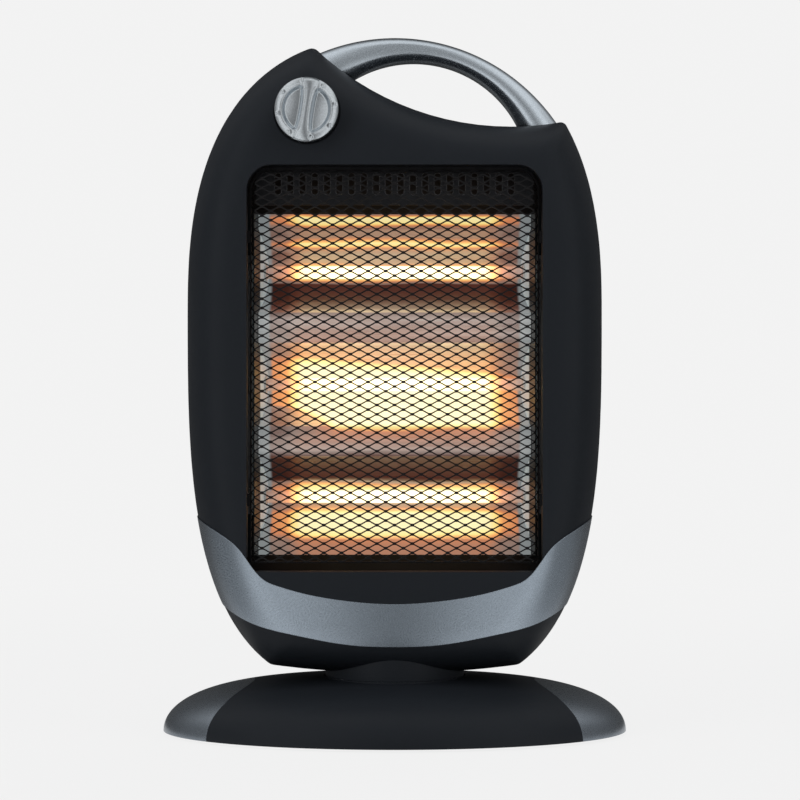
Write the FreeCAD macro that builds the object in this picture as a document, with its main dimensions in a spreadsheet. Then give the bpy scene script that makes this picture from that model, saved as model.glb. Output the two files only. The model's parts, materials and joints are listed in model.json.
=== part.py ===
import FreeCAD, Part
import Sketcher

import math
import os
import re

from FreeCAD import Vector

# An infrared heater: a head with three halogen tubes behind a grille, which swings on a low
# oval base. +Z is up, the front faces -Y, the origin is on the floor under the middle of the
# base, and every length is in millimetres.

SIZES = {
    # Base: an oval dome with two end caps, on a flat plate and four feet
    "base_width": 360.0,
    "base_depth": 240.0,
    "base_rim_height": 2.4,
    "base_dome_rise": 42.5,
    "base_wall": 3.0,
    "cap_skin": 1.4,
    "cap_curve_radius": 100.0,
    "cap_reach": 109.0,
    "cap_seam": 0.25,
    "plate_thickness": 2.5,
    "plate_gap": 0.4,
    "foot_height": 2.6,
    "foot_radius": 11.0,
    "foot_spread_x": 118.0,
    "foot_spread_y": 58.0,
    "base_boss_radius": 5.0,
    "end_boss_x": 140.0,
    "end_boss_y": 36.0,
    "rear_boss_x": 76.0,
    "rear_boss_y": 84.0,
    "front_boss_y": 96.0,
    "weight_length": 74.0,
    "weight_width": 66.0,
    "weight_height": 9.0,
    "weight_reach": 58.0,
    "gland_height": 15.0,
    "gland_radius": 6.5,
    "gland_bore_radius": 3.75,
    "gland_length": 18.0,
    "gland_flange": 1.6,
    "clamp_block_width": 24.0,
    "clamp_block_depth": 9.0,
    "clamp_block_height": 12.0,
    "clamp_block_reach": 96.0,
    # Turntable: the neck, its tube and what holds it in the base
    "seat_sink": 1.4,
    "seat_margin": 1.0,
    "seat_height": 6.0,
    "slide_washer_thickness": 1.2,
    "slide_washer_radius": 50.0,
    "slide_washer_bore": 22.0,
    "turn_gap": 0.1,
    "turntable_radius": 54.0,
    "turntable_top": 76.0,
    "neck_tube_radius": 15.0,
    "neck_bore_radius": 11.5,
    "neck_tube_bottom": 25.0,
    "neck_tube_top": 68.0,
    "neck_running_gap": 0.08,
    "collar_radius": 20.0,
    "collar_bottom": 36.0,
    "thrust_washer_radius": 22.0,
    "thrust_washer_thickness": 1.5,
    "lock_ring_radius": 19.5,
    "lock_ring_height": 3.6,
    "clamp_ring_radius": 30.0,
    "clamp_ring_height": 3.0,
    "floor_seat_radius": 34.0,
    "floor_seat_top": 62.0,
    # Swing drive: motor, crank and slotted arm
    "arm_thickness": 3.0,
    "arm_hub_radius": 20.0,
    "arm_width": 15.0,
    "arm_slot_width": 5.4,
    "crank_offset": 42.0,
    "crank_pin_reach": 24.0,
    "crank_pin_radius": 2.5,
    "crank_pin_gap": 0.5,
    "crank_radius": 28.0,
    "crank_thickness": 2.6,
    "crank_bottom": 21.0,
    "motor_radius": 25.0,
    "motor_top": 19.5,
    "motor_shaft_radius": 3.5,
    "motor_shaft_gap": 0.05,
    "motor_ear_reach": 31.0,
    "motor_ear_width": 13.0,
    "motor_ear_thickness": 1.2,
    # Tip-over switch
    "tip_place_y": 76.0,
    "tip_plunger_radius": 3.5,
    "tip_running_gap": 0.1,
    "tip_rest_gap": 0.3,
    "tip_collar_radius": 6.0,
    "tip_collar_bottom": 11.5,
    "tip_collar_thickness": 2.0,
    "tip_plunger_top": 18.0,
    "tip_housing_radius": 8.0,
    "tip_housing_bore": 6.2,
    "tip_housing_top": 26.0,
    "tip_housing_roof": 1.6,
    "tip_spring_radius": 4.6,
    "tip_spring_wire": 0.4,
    "tip_spring_turns": 5.0,
    "micro_switch_length": 20.0,
    "micro_switch_width": 6.4,
    "micro_switch_height": 12.0,
    # Head: two shells whose outline is a tall egg with a scooped top
    "head_width": 321.0,
    "head_waist_height": 327.5,
    "head_upper_rise": 213.0,
    "head_lower_drop": 294.5,
    "head_front_depth": 62.0,
    "head_rear_depth": 58.0,
    "head_edge_inset": 38.0,
    "head_wall": 3.0,
    "head_floor_height": 47.5,
    "head_floor_radius": 700.0,
    "scoop_radius": 220.0,
    "scoop_centre_x": 90.0,
    "scoop_centre_height": 690.8,
    "apex_round": 6.0,
    "shoulder_round": 5.0,
    "floor_corner_round": 10.0,
    # Window and its well
    "window_width": 224.0,
    "window_height": 308.0,
    "window_centre_height": 283.0,
    "window_top_round": 19.0,
    "window_bottom_round": 6.0,
    "well_wall": 2.4,
    "well_depth": 18.0,
    # Silver band
    "band_proud": 0.7,
    "band_sunk": 1.5,
    "band_split_gap": 0.4,
    # Handle
    "handle_outer_radius": 153.2,
    "handle_outer_height": 387.5,
    "handle_inner_radius": 90.0,
    "handle_inner_x": 15.0,
    "handle_inner_height": 431.3,
    "handle_depth": 36.0,
    "handle_round": 8.0,
    "handle_wall": 3.2,
    "handle_seam": 0.15,
    # Grille
    "grille_recess": 4.0,
    "grille_sheet": 1.0,
    "grille_margin": 6.0,
    "grille_side_gap": 2.0,
    "grille_tray_depth": 11.0,
    "grille_bend": 4.6,
    "grille_rim": 3.0,
    "grille_strand": 1.8,
    "clip_height": 9.0,
    "clip_depth": 6.0,
    "clip_spread": 100.0,
    # Heat shield, vent panel and reflector
    "shield_width": 244.0,
    "shield_top": 444.0,
    "shield_bottom": 123.0,
    "shield_front": 40.0,
    "shield_rear": 13.0,
    "shield_sheet": 0.8,
    "shield_flange": 9.0,
    "flange_corner": 10.0,
    "shield_boss_radius": 4.5,
    "shield_boss_x": 128.0,
    "vent_width": 212.0,
    "vent_top": 442.5,
    "vent_bottom": 408.5,
    "vent_sheet": 0.8,
    "vent_front": 36.0,
    "vent_slot_width": 5.3,
    "vent_slot_height": 17.0,
    "vent_slot_pitch": 9.4,
    "vent_slot_centre": 424.5,
    "vent_lip": 8.0,
    "reflector_back_width": 197.0,
    "reflector_front_width": 215.0,
    "reflector_sheet": 0.7,
    "reflector_rear": 12.0,
    "reflector_front": 34.0,
    "reflector_margin": 0.3,
    "trough_depth": 34.0,
    "trough_width": 64.0,
    "side_sheet": 0.8,
    "side_hole_radius": 7.3,
    # Halogen tubes
    "tube_middle_height": 271.0,
    "tube_pitch": 87.5,
    "tube_depth": -3.0,
    "tube_radius": 5.0,
    "tube_wall": 1.0,
    "tube_half_length": 107.0,
    "filament_radius": 1.5,
    "filament_half_length": 79.0,
    "cap_radius": 7.0,
    "cap_length": 14.0,
    "cap_pin_radius": 1.0,
    "cap_pin_length": 3.0,
    "holder_reach": 110.5,
    "holder_sheet": 1.2,
    "holder_foot": 9.0,
    "holder_margin": 14.0,
    "holder_front": 10.0,
    # Knob and rotary switch
    "knob_x": 66.2,
    "knob_height": 477.5,
    "knob_radius": 24.25,
    "knob_crown_radius": 21.5,
    "knob_skirt": 12.0,
    "knob_depth": 18.0,
    "knob_gap": 0.3,
    "knob_seat_sink": 2.2,
    "knob_seat_margin": 1.0,
    "knob_seat_thickness": 6.0,
    "knob_grip_width": 6.6,
    "knob_scoop_radius": 19.6,
    "knob_scoop_depth": 8.0,
    "knob_scoop_round": 3.2,
    "knob_socket_depth": 9.0,
    "knob_dimple_radius": 1.1,
    "knob_dimple_ring": 21.4,
    "knob_dimple_depth": 1.2,
    "spindle_radius": 3.0,
    "spindle_gap": 0.05,
    "switch_width": 32.0,
    "switch_height": 28.0,
    "switch_depth": 24.0,
    "switch_socket": 12.0,
    "switch_clear": 1.0,
    # Fasteners and pillars
    "pillar_radius": 4.8,
    "screw_radius": 1.5,
    "screw_gap": 0.1,
    "screw_head_radius": 3.0,
    "screw_head_height": 2.0,
    "screw_length": 14.0,
    "pillar_seat": 3.0,
    # Rear vents
    "louvre_width": 4.0,
    "louvre_height": 46.0,
    "louvre_pitch": 14.0,
    "louvre_upper_height": 400.0,
    "louvre_lower_height": 150.0,
    # Small parts behind the shield
    "terminal_width": 50.0,
    "terminal_height": 20.0,
    "terminal_depth": 16.0,
    "terminal_place_height": 200.0,
    "cutout_radius": 8.0,
    "cutout_depth": 10.0,
    "cutout_place_x": 60.0,
    "cutout_place_height": 380.0,
    "lead_radius": 2.2,
    # How far a cutting tool runs past what it cuts
    "overrun": 2.0,
}

# Powers of the rounded outlines: 2 is an ellipse, and more is squarer
DOME_CROWN_POWER = 2.1
DOME_EDGE_POWER = 3.5
UPPER_POWER = 2.51
LOWER_POWER = 3.09
EDGE_POWER = 2.6

# Counts of repeated features and of the stations that a skin runs through
LOUVRE_COUNT = 14
VENT_SLOT_COUNT = 20
NET_COLUMNS = 8
NET_ROWS = 17
DIMPLE_COUNT = 8
SIDE_POINTS = 21
DOME_POINTS = 15
CLOSE_POINTS = 800
STATION_SHARES = (0, 0.2, 0.4, 0.55, 0.7, 0.82, 0.92, 1)
SPRING_STEPS = 12

# How finely the outline's corners are searched for, and how near a number counts as reached
TURN_STEP = 0.0005
SEARCH_STEPS = 60
TOP_TURNS = (0.2, 1.5)
FLOOR_TURNS = (-1.5, -0.2)
CLOSE = 0.001

# The grip of the knob leans by this many degrees when it is off
GRIP_LEAN = 9

# Share of a lead's shorter run that its bend takes up, and the places of its bends
BEND_SHARE = 0.45
SWITCH_LEAD_SHARES = (0.9, 0.66, 0.3)
NECK_LEAD_SHARES = (0.4, 0.12)

# Outline of the silver band on the lower front: shares of half the head's width, and of the
# waist's height above the floor, from the middle outwards
BAND_UPPER_SHARES = ((0, 0.3194), (0.211, 0.326), (0.436, 0.345), (0.549, 0.361), (0.606, 0.3725),
                     (0.662, 0.398), (0.745, 0.452), (0.840, 0.485), (0.938, 0.512), (1.09, 0.553))
BAND_LOWER_SHARES = ((0, 0.2198), (0.2106, 0.2244), (0.4925, 0.250), (0.669, 0.2724),
                     (0.784, 0.2986), (0.932, 0.342))

# Corners of the handle's two hidden ends, from the centre of its outer curve, as shares of
# that curve's radius
LEFT_TANG_SHARES = ((-0.389, 0.9215), (-0.415, 0.813), (-0.285, 0.696), (-0.233, 0.749))
RIGHT_TANG_SHARES = ((0.828, 0.560), (0.784, 0.463), (0.628, 0.463), (0.592, 0.554))

# Places of the screws that join the two shells, and of those that hold the shield: shares of
# half the head's width, and of the waist's height
PILLAR_SHARES = ((0.862, 1.319), (0.882, 0.886), (0.862, 0.464), (0.386, 0.257))
SHIELD_SCREW_HEIGHT_SHARES = (0.458, 0.886, 1.282)

doc = FreeCAD.newDocument("infrared_heater")
sheet = doc.addObject("Spreadsheet::Sheet", "Sizes")
for row, name in enumerate(SIZES, start=1):
    sheet.set("A%d" % row, name)
    sheet.set("B%d" % row, str(SIZES[name]))
    sheet.setAlias("B%d" % row, name)
doc.recompute()

NODES = []


def size(name):
    """A size, read from the sheet."""
    return float(sheet.get(name))


def cells(text):
    """A sum of size names, written with the names of the sheet's cells."""
    def cell(word):
        if word.group() in SIZES:
            return "Sizes." + word.group()
        return word.group()
    return re.sub(r"[a-z][a-z_]*", cell, text)


def refresh(*things):
    """Work out a few objects now, in the order that they are given."""
    for thing in things:
        thing.recompute()


def node(thing, label):
    """Give a finished sub-part its name and put it on the list of what is written."""
    thing.Label = label
    NODES.append(thing)
    return thing


def place(thing, x="0", y="0", z="0", turn=FreeCAD.Rotation()):
    """Put a primitive at a point that is worked out from the sheet."""
    thing.Placement = FreeCAD.Placement(Vector(), turn)
    thing.setExpression("Placement.Base.x", cells(x))
    thing.setExpression("Placement.Base.y", cells(y))
    thing.setExpression("Placement.Base.z", cells(z))
    return thing


def box(name, low, spans):
    """A block from its low corner and its three spans."""
    block = doc.addObject("Part::Box", name)
    block.setExpression("Length", cells(spans[0]))
    block.setExpression("Width", cells(spans[1]))
    block.setExpression("Height", cells(spans[2]))
    return place(block, *low)


ALONG = {
    "x": FreeCAD.Rotation(Vector(0, 1, 0), 90),
    "y": FreeCAD.Rotation(Vector(1, 0, 0), -90),
    "z": FreeCAD.Rotation(),
}


def rod(name, radius, length, low, along="z"):
    """A cylinder from its low end, along one axis of the frame."""
    cylinder = doc.addObject("Part::Cylinder", name)
    cylinder.setExpression("Radius", cells(radius))
    cylinder.setExpression("Height", cells(length))
    return place(cylinder, *low, turn=ALONG[along])


def fuse(name, *parts):
    """One solid from several."""
    whole = doc.addObject("Part::MultiFuse", name)
    whole.Shapes = list(parts)
    return whole


def group(name, *parts):
    """Separate solids under one name."""
    several = doc.addObject("Part::Compound", name)
    several.Links = list(parts)
    return several


def cut(name, base, *tools):
    """A solid less one or more tools."""
    tool = tools[0]
    if len(tools) > 1:
        tool = group(name + "_tools", *tools)
    less = doc.addObject("Part::Cut", name)
    less.Base = base
    less.Tool = tool
    return less


def common(name, *parts):
    """What several solids share."""
    shared = doc.addObject("Part::MultiCommon", name)
    shared.Shapes = list(parts)
    return shared


def made(name, shape):
    """A shape that a formula gives, as an object of the document."""
    feature = doc.addObject("Part::Feature", name)
    feature.Shape = shape
    return feature


def sketch(body, role, name):
    """An empty sketch on one of a body's own planes."""
    plane = [item for item in body.Origin.OriginFeatures if item.Role == role][0]
    drawing = body.newObject("Sketcher::SketchObject", name)
    drawing.AttachmentSupport = [(plane, "")]
    drawing.MapMode = "FlatFace"
    drawing.recompute()
    return drawing


def hold(drawing, kind, *place_and_text):
    """Hold one dimension of a sketch to a sum of sizes."""
    *where, text = place_and_text
    value = float(drawing.evalExpression(cells(text)))
    number = drawing.addConstraint(Sketcher.Constraint(kind, *where, value))
    drawing.setExpression("Constraints[%d]" % number, cells(text))


def polygon(drawing, corners):
    """A closed outline of straight lines, with every corner held to sums of sizes."""
    points = []
    for across, up in corners:
        points.append(Vector(float(drawing.evalExpression(cells(across))),
                             float(drawing.evalExpression(cells(up))), 0))
    count = len(corners)
    for number in range(count):
        drawing.addGeometry(Part.LineSegment(points[number], points[(number + 1) % count]))
    for number in range(count):
        drawing.addConstraint(Sketcher.Constraint("Coincident", number, 2, (number + 1) % count, 1))
    for number, (across, up) in enumerate(corners):
        hold(drawing, "DistanceX", -1, 1, number, 1, across)
        hold(drawing, "DistanceY", -1, 1, number, 1, up)
    drawing.recompute()


def turned(label, corners, x="0", y="0"):
    """A body turned about an upright axis, from its half section of radius and height."""
    body = doc.addObject("PartDesign::Body", label)
    section = sketch(body, "XZ_Plane", label + "_section")
    polygon(section, corners)
    turning = body.newObject("PartDesign::Revolution", label + "_turning")
    turning.Profile = section
    turning.ReferenceAxis = (section, ["V_Axis"])
    turning.Angle = 360
    return place(body, x, y)


def bent(label, role, corners, length):
    """A body drawn in section on one of its planes and padded evenly to both sides of it."""
    body = doc.addObject("PartDesign::Body", label)
    section = sketch(body, role, label + "_section")
    polygon(section, corners)
    pad = body.newObject("PartDesign::Pad", label + "_pad")
    pad.Profile = section
    pad.Midplane = True
    pad.setExpression("Length", cells(length))
    return body


def smooth(points):
    """A smooth curve through evenly stepped points."""
    curve = Part.BSplineCurve()
    last = len(points) - 1
    curve.interpolate(Points=points, Parameters=[step / last for step in range(len(points))])
    return curve


def even(points, count):
    """A few points at even steps along a line of many close ones."""
    reach = [0.0]
    for first, second in zip(points, points[1:]):
        reach.append(reach[-1] + (second - first).Length)
    picked = [points[0]]
    at = 0
    for step in range(1, count - 1):
        goal = reach[-1] * step / (count - 1)
        while reach[at + 1] < goal:
            at += 1
        share = (goal - reach[at]) / (reach[at + 1] - reach[at])
        picked.append(points[at] + (points[at + 1] - points[at]) * share)
    picked.append(points[-1])
    return picked


def arc(first, middle, last):
    """An edge round through three points."""
    return Part.Arc(first, middle, last).toShape()


def screw(name, tip, length, along):
    """A round-headed screw: its thread starts at the tip and its head sits on the far end."""
    shank = rod(name + "_shank", "screw_radius", length, tip, along)
    head_low = list(tip)
    axis = "xyz".index(along)
    head_low[axis] = "%s + %s" % (tip[axis], length)
    head = rod(name + "_head", "screw_head_radius", "screw_head_height", head_low, along)
    return fuse(name, shank, head)


# Base dome

def dome(name, inset):
    """Oval dome of the base, drawn in by an inset; its outline is a squared ellipse."""
    radius = size("base_width") / 2 - inset
    rise = size("base_dome_rise") - inset
    rim = size("base_rim_height")
    points = []
    for step in range(CLOSE_POINTS + 1):
        turn = math.pi / 2 * step / CLOSE_POINTS
        across = radius * abs(math.cos(turn)) ** (2 / DOME_EDGE_POWER)
        up = rise * math.sin(turn) ** (2 / DOME_CROWN_POWER)
        points.append(Vector(across, 0, rim + up))
    points[-1] = Vector(0, 0, rim + rise)
    curve = smooth(even(points, DOME_POINTS))
    bottom = rim
    corners = [points[-1], Vector(0, 0, bottom), points[0]]
    if inset > 0:
        bottom = rim - size("overrun")
        corners = [points[-1], Vector(0, 0, bottom), Vector(radius, 0, bottom), points[0]]
    wire = Part.Wire([curve.toShape()] + Part.makePolygon(corners).Edges)
    section = made(name + "_section", Part.Face(wire))
    round_dome = doc.addObject("Part::Revolution", name + "_round")
    round_dome.Source = section
    round_dome.Axis = Vector(0, 0, 1)
    round_dome.Angle = 360
    oval = doc.addObject("Part::Scale", name)
    oval.Base = round_dome
    oval.Uniform = False
    oval.YScale = (size("base_depth") / 2 - inset) / radius
    return oval


dome_outside = dome("dome_outside", 0)
dome_skin = dome("dome_skin", size("cap_skin"))
dome_inside = dome("dome_inside", size("base_wall"))

DOME_TOP = "base_rim_height + base_dome_rise"
SEAT_TOP = DOME_TOP + " - seat_sink"
PLATE_TOP = "foot_height + plate_thickness"

cap_layer = cut("cap_layer", dome_outside, dome_skin)
cap_recesses = []
for side, sign in (("left", "-"), ("right", "")):
    centre = sign + "(cap_reach + cap_curve_radius)"
    tool = rod("cap_tool_" + side, "cap_curve_radius", DOME_TOP + " + overrun", (centre, "0", "0"))
    node(common("base_trim_" + side, cap_layer, tool), "base_trim_" + side)
    wider = rod("cap_recess_tool_" + side, "cap_curve_radius + cap_seam", DOME_TOP + " + overrun",
                (centre, "0", "0"))
    cap_recesses.append(common("cap_recess_" + side, cap_layer, wider))

dome_shell = cut("dome_shell", dome_outside, dome_inside)
turn_seat = rod("turn_seat", "turntable_radius + 2 * seat_margin", "seat_height",
                ("0", "0", DOME_TOP + " - seat_height"))
turn_recess = rod("turn_recess", "turntable_radius + seat_margin", "seat_height", ("0", "0", SEAT_TOP))
collar = rod("collar", "collar_radius", SEAT_TOP + " - collar_bottom", ("0", "0", "collar_bottom"))

BASE_BOSSES = (("end_boss_x", "end_boss_y"), ("-end_boss_x", "end_boss_y"),
               ("end_boss_x", "-end_boss_y"), ("-end_boss_x", "-end_boss_y"),
               ("rear_boss_x", "rear_boss_y"), ("-rear_boss_x", "rear_boss_y"),
               ("rear_boss_x", "-rear_boss_y"), ("-rear_boss_x", "-rear_boss_y"))
posts = []
pilots = []
for number, (x, y) in enumerate(BASE_BOSSES):
    posts.append(rod("base_post_%d" % number, "base_boss_radius", DOME_TOP + " - (%s)" % PLATE_TOP,
                     (x, y, PLATE_TOP)))
    pilots.append(rod("base_pilot_%d" % number, "screw_radius + screw_gap", "screw_length",
                      (x, y, PLATE_TOP + " - overrun")))
base_posts = common("base_posts", group("base_post_group", *posts), dome_skin)
neck_hole = rod("neck_hole", "neck_tube_radius + neck_running_gap", DOME_TOP,
                ("0", "0", "collar_bottom - overrun"))
GLAND_START = "base_depth / 2 - gland_length"
gland_hole = rod("gland_hole", "gland_radius", "gland_length + overrun",
                 ("0", GLAND_START, "gland_height"), "y")
base_body = fuse("base_body", dome_shell, turn_seat, collar, base_posts)
base_bored = cut("base_bored", base_body, neck_hole)
node(cut("base_cover", base_bored, *cap_recesses, turn_recess, gland_hole, *pilots), "base_cover")

# Base plate with its feet, ballast and screws

plate_curve = doc.addObject("Part::Ellipse", "plate_curve")
plate_curve.setExpression("MajorRadius", cells("base_width / 2 - base_wall - plate_gap"))
plate_curve.setExpression("MinorRadius", cells("base_depth / 2 - base_wall - plate_gap"))
place(plate_curve, z="foot_height")
plate_blank = doc.addObject("Part::Extrusion", "plate_blank")
plate_blank.Base = plate_curve
plate_blank.DirMode = "Custom"
plate_blank.Dir = Vector(0, 0, 1)
plate_blank.setExpression("LengthFwd", cells("plate_thickness"))
plate_blank.Solid = True
plate_holes = []
for number, (x, y) in enumerate(BASE_BOSSES):
    plate_holes.append(rod("plate_hole_%d" % number, "screw_radius + screw_gap",
                           "plate_thickness + 2 * overrun",
                           (x, y, "foot_height - overrun")))
plate_holes.append(rod("plunger_hole", "tip_plunger_radius + tip_running_gap",
                       "plate_thickness + 2 * overrun",
                       ("0", "-tip_place_y", "foot_height - overrun")))
node(cut("base_plate", plate_blank, *plate_holes), "base_plate")

feet = []
for number, (sign_x, sign_y) in enumerate((("", ""), ("-", ""), ("", "-"), ("-", "-"))):
    foot = doc.addObject("Part::Cone", "foot_%d" % number)
    foot.setExpression("Radius1", cells("foot_radius - foot_height / 2"))
    foot.setExpression("Radius2", cells("foot_radius"))
    foot.setExpression("Height", cells("foot_height"))
    feet.append(place(foot, sign_x + "foot_spread_x", sign_y + "foot_spread_y"))
node(group("rubber_feet", *feet), "rubber_feet")

base_screws = []
for number, (x, y) in enumerate(BASE_BOSSES):
    shank = rod("base_screw_shank_%d" % number, "screw_radius", "screw_length - overrun",
                (x, y, "foot_height"))
    head = rod("base_screw_head_%d" % number, "screw_head_radius", "screw_head_height",
               (x, y, "foot_height - screw_head_height"))
    base_screws.append(fuse("base_screw_%d" % number, shank, head))
node(group("base_screws", *base_screws), "base_screws")

weights = []
for side, low_x in (("left", "-weight_reach - weight_length"), ("right", "weight_reach")):
    weights.append(box("weight_" + side, (low_x, "-weight_width / 2", PLATE_TOP),
                       ("weight_length", "weight_width", "weight_height")))
node(group("ballast_plates", *weights), "ballast_plates")

# Cord gland and clamp

gland_body = rod("gland_body", "gland_radius", "gland_length", ("0", GLAND_START, "gland_height"), "y")
gland_nut = rod("gland_nut", "gland_radius + gland_flange", "gland_flange",
                ("0", GLAND_START, "gland_height"), "y")
gland_bore = rod("gland_bore", "gland_bore_radius", "gland_length + 2 * overrun",
                 ("0", GLAND_START + " - overrun", "gland_height"), "y")
node(cut("cord_gland", fuse("gland_blank", gland_body, gland_nut), gland_bore), "cord_gland")
clamp_blank = box("clamp_blank",
                  ("-clamp_block_width / 2", "clamp_block_reach - clamp_block_depth", PLATE_TOP),
                  ("clamp_block_width", "clamp_block_depth", "clamp_block_height"))
clamp_groove = rod("clamp_groove", "gland_bore_radius", "clamp_block_depth + 2 * overrun",
                   ("0", "clamp_block_reach - clamp_block_depth - overrun", "gland_height"), "y")
node(cut("cord_clamp", clamp_blank, clamp_groove), "cord_clamp")

# Head outline and skins

SCOOP_CENTRE = Vector(size("scoop_centre_x"), 0, size("scoop_centre_height"))
FLOOR_CENTRE = Vector(0, 0, size("head_floor_height") + size("head_floor_radius"))


def side_point(turn, inset):
    """A point of the right-hand side of the outline and the direction inwards from it."""
    def at(angle):
        if angle >= 0:
            rise = size("head_upper_rise") - inset
            power = UPPER_POWER
        else:
            rise = size("head_lower_drop") - inset
            power = LOWER_POWER
        across = (size("head_width") / 2 - inset) * abs(math.cos(angle)) ** (2 / power)
        up = math.copysign(rise * abs(math.sin(angle)) ** (2 / power), angle)
        return Vector(across, 0, size("head_waist_height") + up)
    along = at(turn + TURN_STEP) - at(turn - TURN_STEP)
    along.normalize()
    return at(turn), Vector(-along.z, 0, along.x)


def mirrored(point, side):
    """The same point on the side that is asked for: 1 is the right, and -1 the left."""
    return Vector(side * point.x, point.y, point.z)


def corner(side, centre, reach, low, high, inset, radius):
    """Rounding between the side and a circle: its turn on the side, side point and hub."""
    target = mirrored(centre, side)
    for step in range(SEARCH_STEPS):
        middle = (low + high) / 2
        point, inward = side_point(middle, inset)
        hub = point + inward * radius
        if (hub - target).Length > reach:
            low = middle
        else:
            high = middle
    return middle, mirrored(point, side), mirrored(hub, side)


def rounding(first, hub, last, radius):
    """A small arc about a hub, from one point to another."""
    middle = (first - hub) + (last - hub)
    middle.normalize()
    return arc(first, hub + middle * radius, last)


def side_curve(side, low, high, inset):
    """One side of the outline as a smooth curve, from its lower corner to its upper one."""
    points = []
    for step in range(CLOSE_POINTS + 1):
        turn = low + (high - low) * step / CLOSE_POINTS
        points.append(mirrored(side_point(turn, inset)[0], side))
    return smooth(even(points, SIDE_POINTS))


def outline(y, inset):
    """The head's closed outline, drawn in by an inset, at a distance from the split."""
    scoop = size("scoop_radius") + inset
    floor = size("head_floor_radius") - inset
    rounds = {}
    for side, name in ((1, "shoulder_round"), (-1, "apex_round")):
        radius = size(name) + inset / 4
        turn, point, hub = corner(side, SCOOP_CENTRE, scoop + radius, *TOP_TURNS, inset, radius)
        touch = SCOOP_CENTRE + (hub - SCOOP_CENTRE) * (scoop / (scoop + radius))
        rounds["top", side] = (turn, point, hub, touch, radius)
        radius = size("floor_corner_round") + inset / 4
        turn, point, hub = corner(side, FLOOR_CENTRE, floor - radius, *FLOOR_TURNS, inset, radius)
        touch = FLOOR_CENTRE + (hub - FLOOR_CENTRE) * (floor / (floor - radius))
        rounds["floor", side] = (turn, point, hub, touch, radius)
    edges = [arc(rounds["floor", -1][3], FLOOR_CENTRE - Vector(0, 0, floor), rounds["floor", 1][3])]
    turn_low, point_low, hub_low, touch_low, radius_low = rounds["floor", 1]
    turn_high, point_high, hub_high, touch_high, radius_high = rounds["top", 1]
    edges.append(rounding(touch_low, hub_low, point_low, radius_low))
    edges.append(side_curve(1, turn_low, turn_high, inset).toShape())
    edges.append(rounding(point_high, hub_high, touch_high, radius_high))
    left_touch = rounds["top", -1][3]
    middle = (touch_high - SCOOP_CENTRE) + (left_touch - SCOOP_CENTRE)
    middle.normalize()
    edges.append(arc(touch_high, SCOOP_CENTRE + middle * scoop, left_touch))
    turn_low, point_low, hub_low, touch_low, radius_low = rounds["floor", -1]
    turn_high, point_high, hub_high, touch_high, radius_high = rounds["top", -1]
    edges.append(rounding(touch_high, hub_high, point_high, radius_high))
    left = side_curve(-1, turn_low, turn_high, inset)
    left.reverse()
    edges.append(left.toShape())
    edges.append(rounding(point_low, hub_low, touch_low, radius_low))
    wire = Part.Wire(edges)
    wire.translate(Vector(0, y, 0))
    return wire


def skin(name, direction, depth, inset):
    """Half of the head as a solid, from the split to its face; an inset makes it smaller."""
    wires = []
    for share in STATION_SHARES:
        turn = share * math.pi / 2
        y = direction * (depth - inset) * math.sin(turn) ** (2 / EDGE_POWER)
        drawn_in = size("head_edge_inset") * (1 - abs(math.cos(turn)) ** (2 / EDGE_POWER))
        wires.append(outline(y, inset + drawn_in))
    return made(name, Part.makeLoft(wires, True, False))


front_outside = skin("front_outside", -1, size("head_front_depth"), 0)
front_inside = skin("front_inside", -1, size("head_front_depth"), size("head_wall"))
front_proud = skin("front_proud", -1, size("head_front_depth"), -size("band_proud"))
front_sunk = skin("front_sunk", -1, size("head_front_depth"), size("band_sunk"))
rear_outside = skin("rear_outside", 1, size("head_rear_depth"), 0)
rear_inside = skin("rear_inside", 1, size("head_rear_depth"), size("head_wall"))
rear_sunk = skin("rear_sunk", 1, size("head_rear_depth"), size("band_sunk"))


# Silver band across the lower front

def band_curve(shares):
    """A smooth curve through the shares on the right and the same ones on the left."""
    half = size("head_width") / 2
    waist = size("head_waist_height")
    right = [Vector(half * across, 0, waist * up) for across, up in shares]
    left = [mirrored(point, -1) for point in reversed(right[1:])]
    curve = Part.BSplineCurve()
    curve.interpolate(Points=left + right)
    return curve


def band_prism(name, near, far):
    """The band's front view, as a prism between two distances from the split."""
    upper = band_curve(BAND_UPPER_SHARES)
    lower = band_curve(BAND_LOWER_SHARES)
    ends = []
    for place_share in (0, 1):
        ends.append(Part.LineSegment(upper.value(place_share), lower.value(place_share)).toShape())
    wire = Part.Wire(Part.sortEdges([upper.toShape(), lower.toShape()] + ends)[0])
    wire.translate(Vector(0, -far, 0))
    return made(name, Part.Face(wire).extrude(Vector(0, far - near, 0)))


band_reach = band_prism("band_reach", size("band_split_gap"), size("head_front_depth") + size("overrun"))
trim_band = node(common("trim_band", cut("band_layer", front_proud, front_sunk), band_reach), "trim_band")


# Window prisms

def window(name, grow, near, far):
    """The window's outline, larger by a margin, as a prism between two distances."""
    half = size("window_width") / 2 + grow
    top = size("window_centre_height") + size("window_height") / 2 + grow
    bottom = size("window_centre_height") - size("window_height") / 2 - grow
    block = Part.makeBox(2 * half, far - near, top - bottom, Vector(-half, -far, bottom))
    upper = []
    lower = []
    for edge in block.Edges:
        run = edge.Vertexes[1].Point - edge.Vertexes[0].Point
        if abs(run.x) + abs(run.z) > CLOSE:
            continue
        if edge.Vertexes[0].Point.z > size("window_centre_height"):
            upper.append(edge)
        else:
            lower.append(edge)
    block = block.makeFillet(size("window_top_round") + grow, upper)
    lower = [edge for edge in block.Edges
             if abs(edge.Vertexes[0].Point.z - bottom) + abs(edge.Vertexes[-1].Point.z - bottom) < CLOSE
             and abs(edge.Vertexes[0].Point.y - edge.Vertexes[-1].Point.y) > CLOSE]
    block = block.makeFillet(size("window_bottom_round") + grow, lower)
    return made(name, block)


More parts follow.
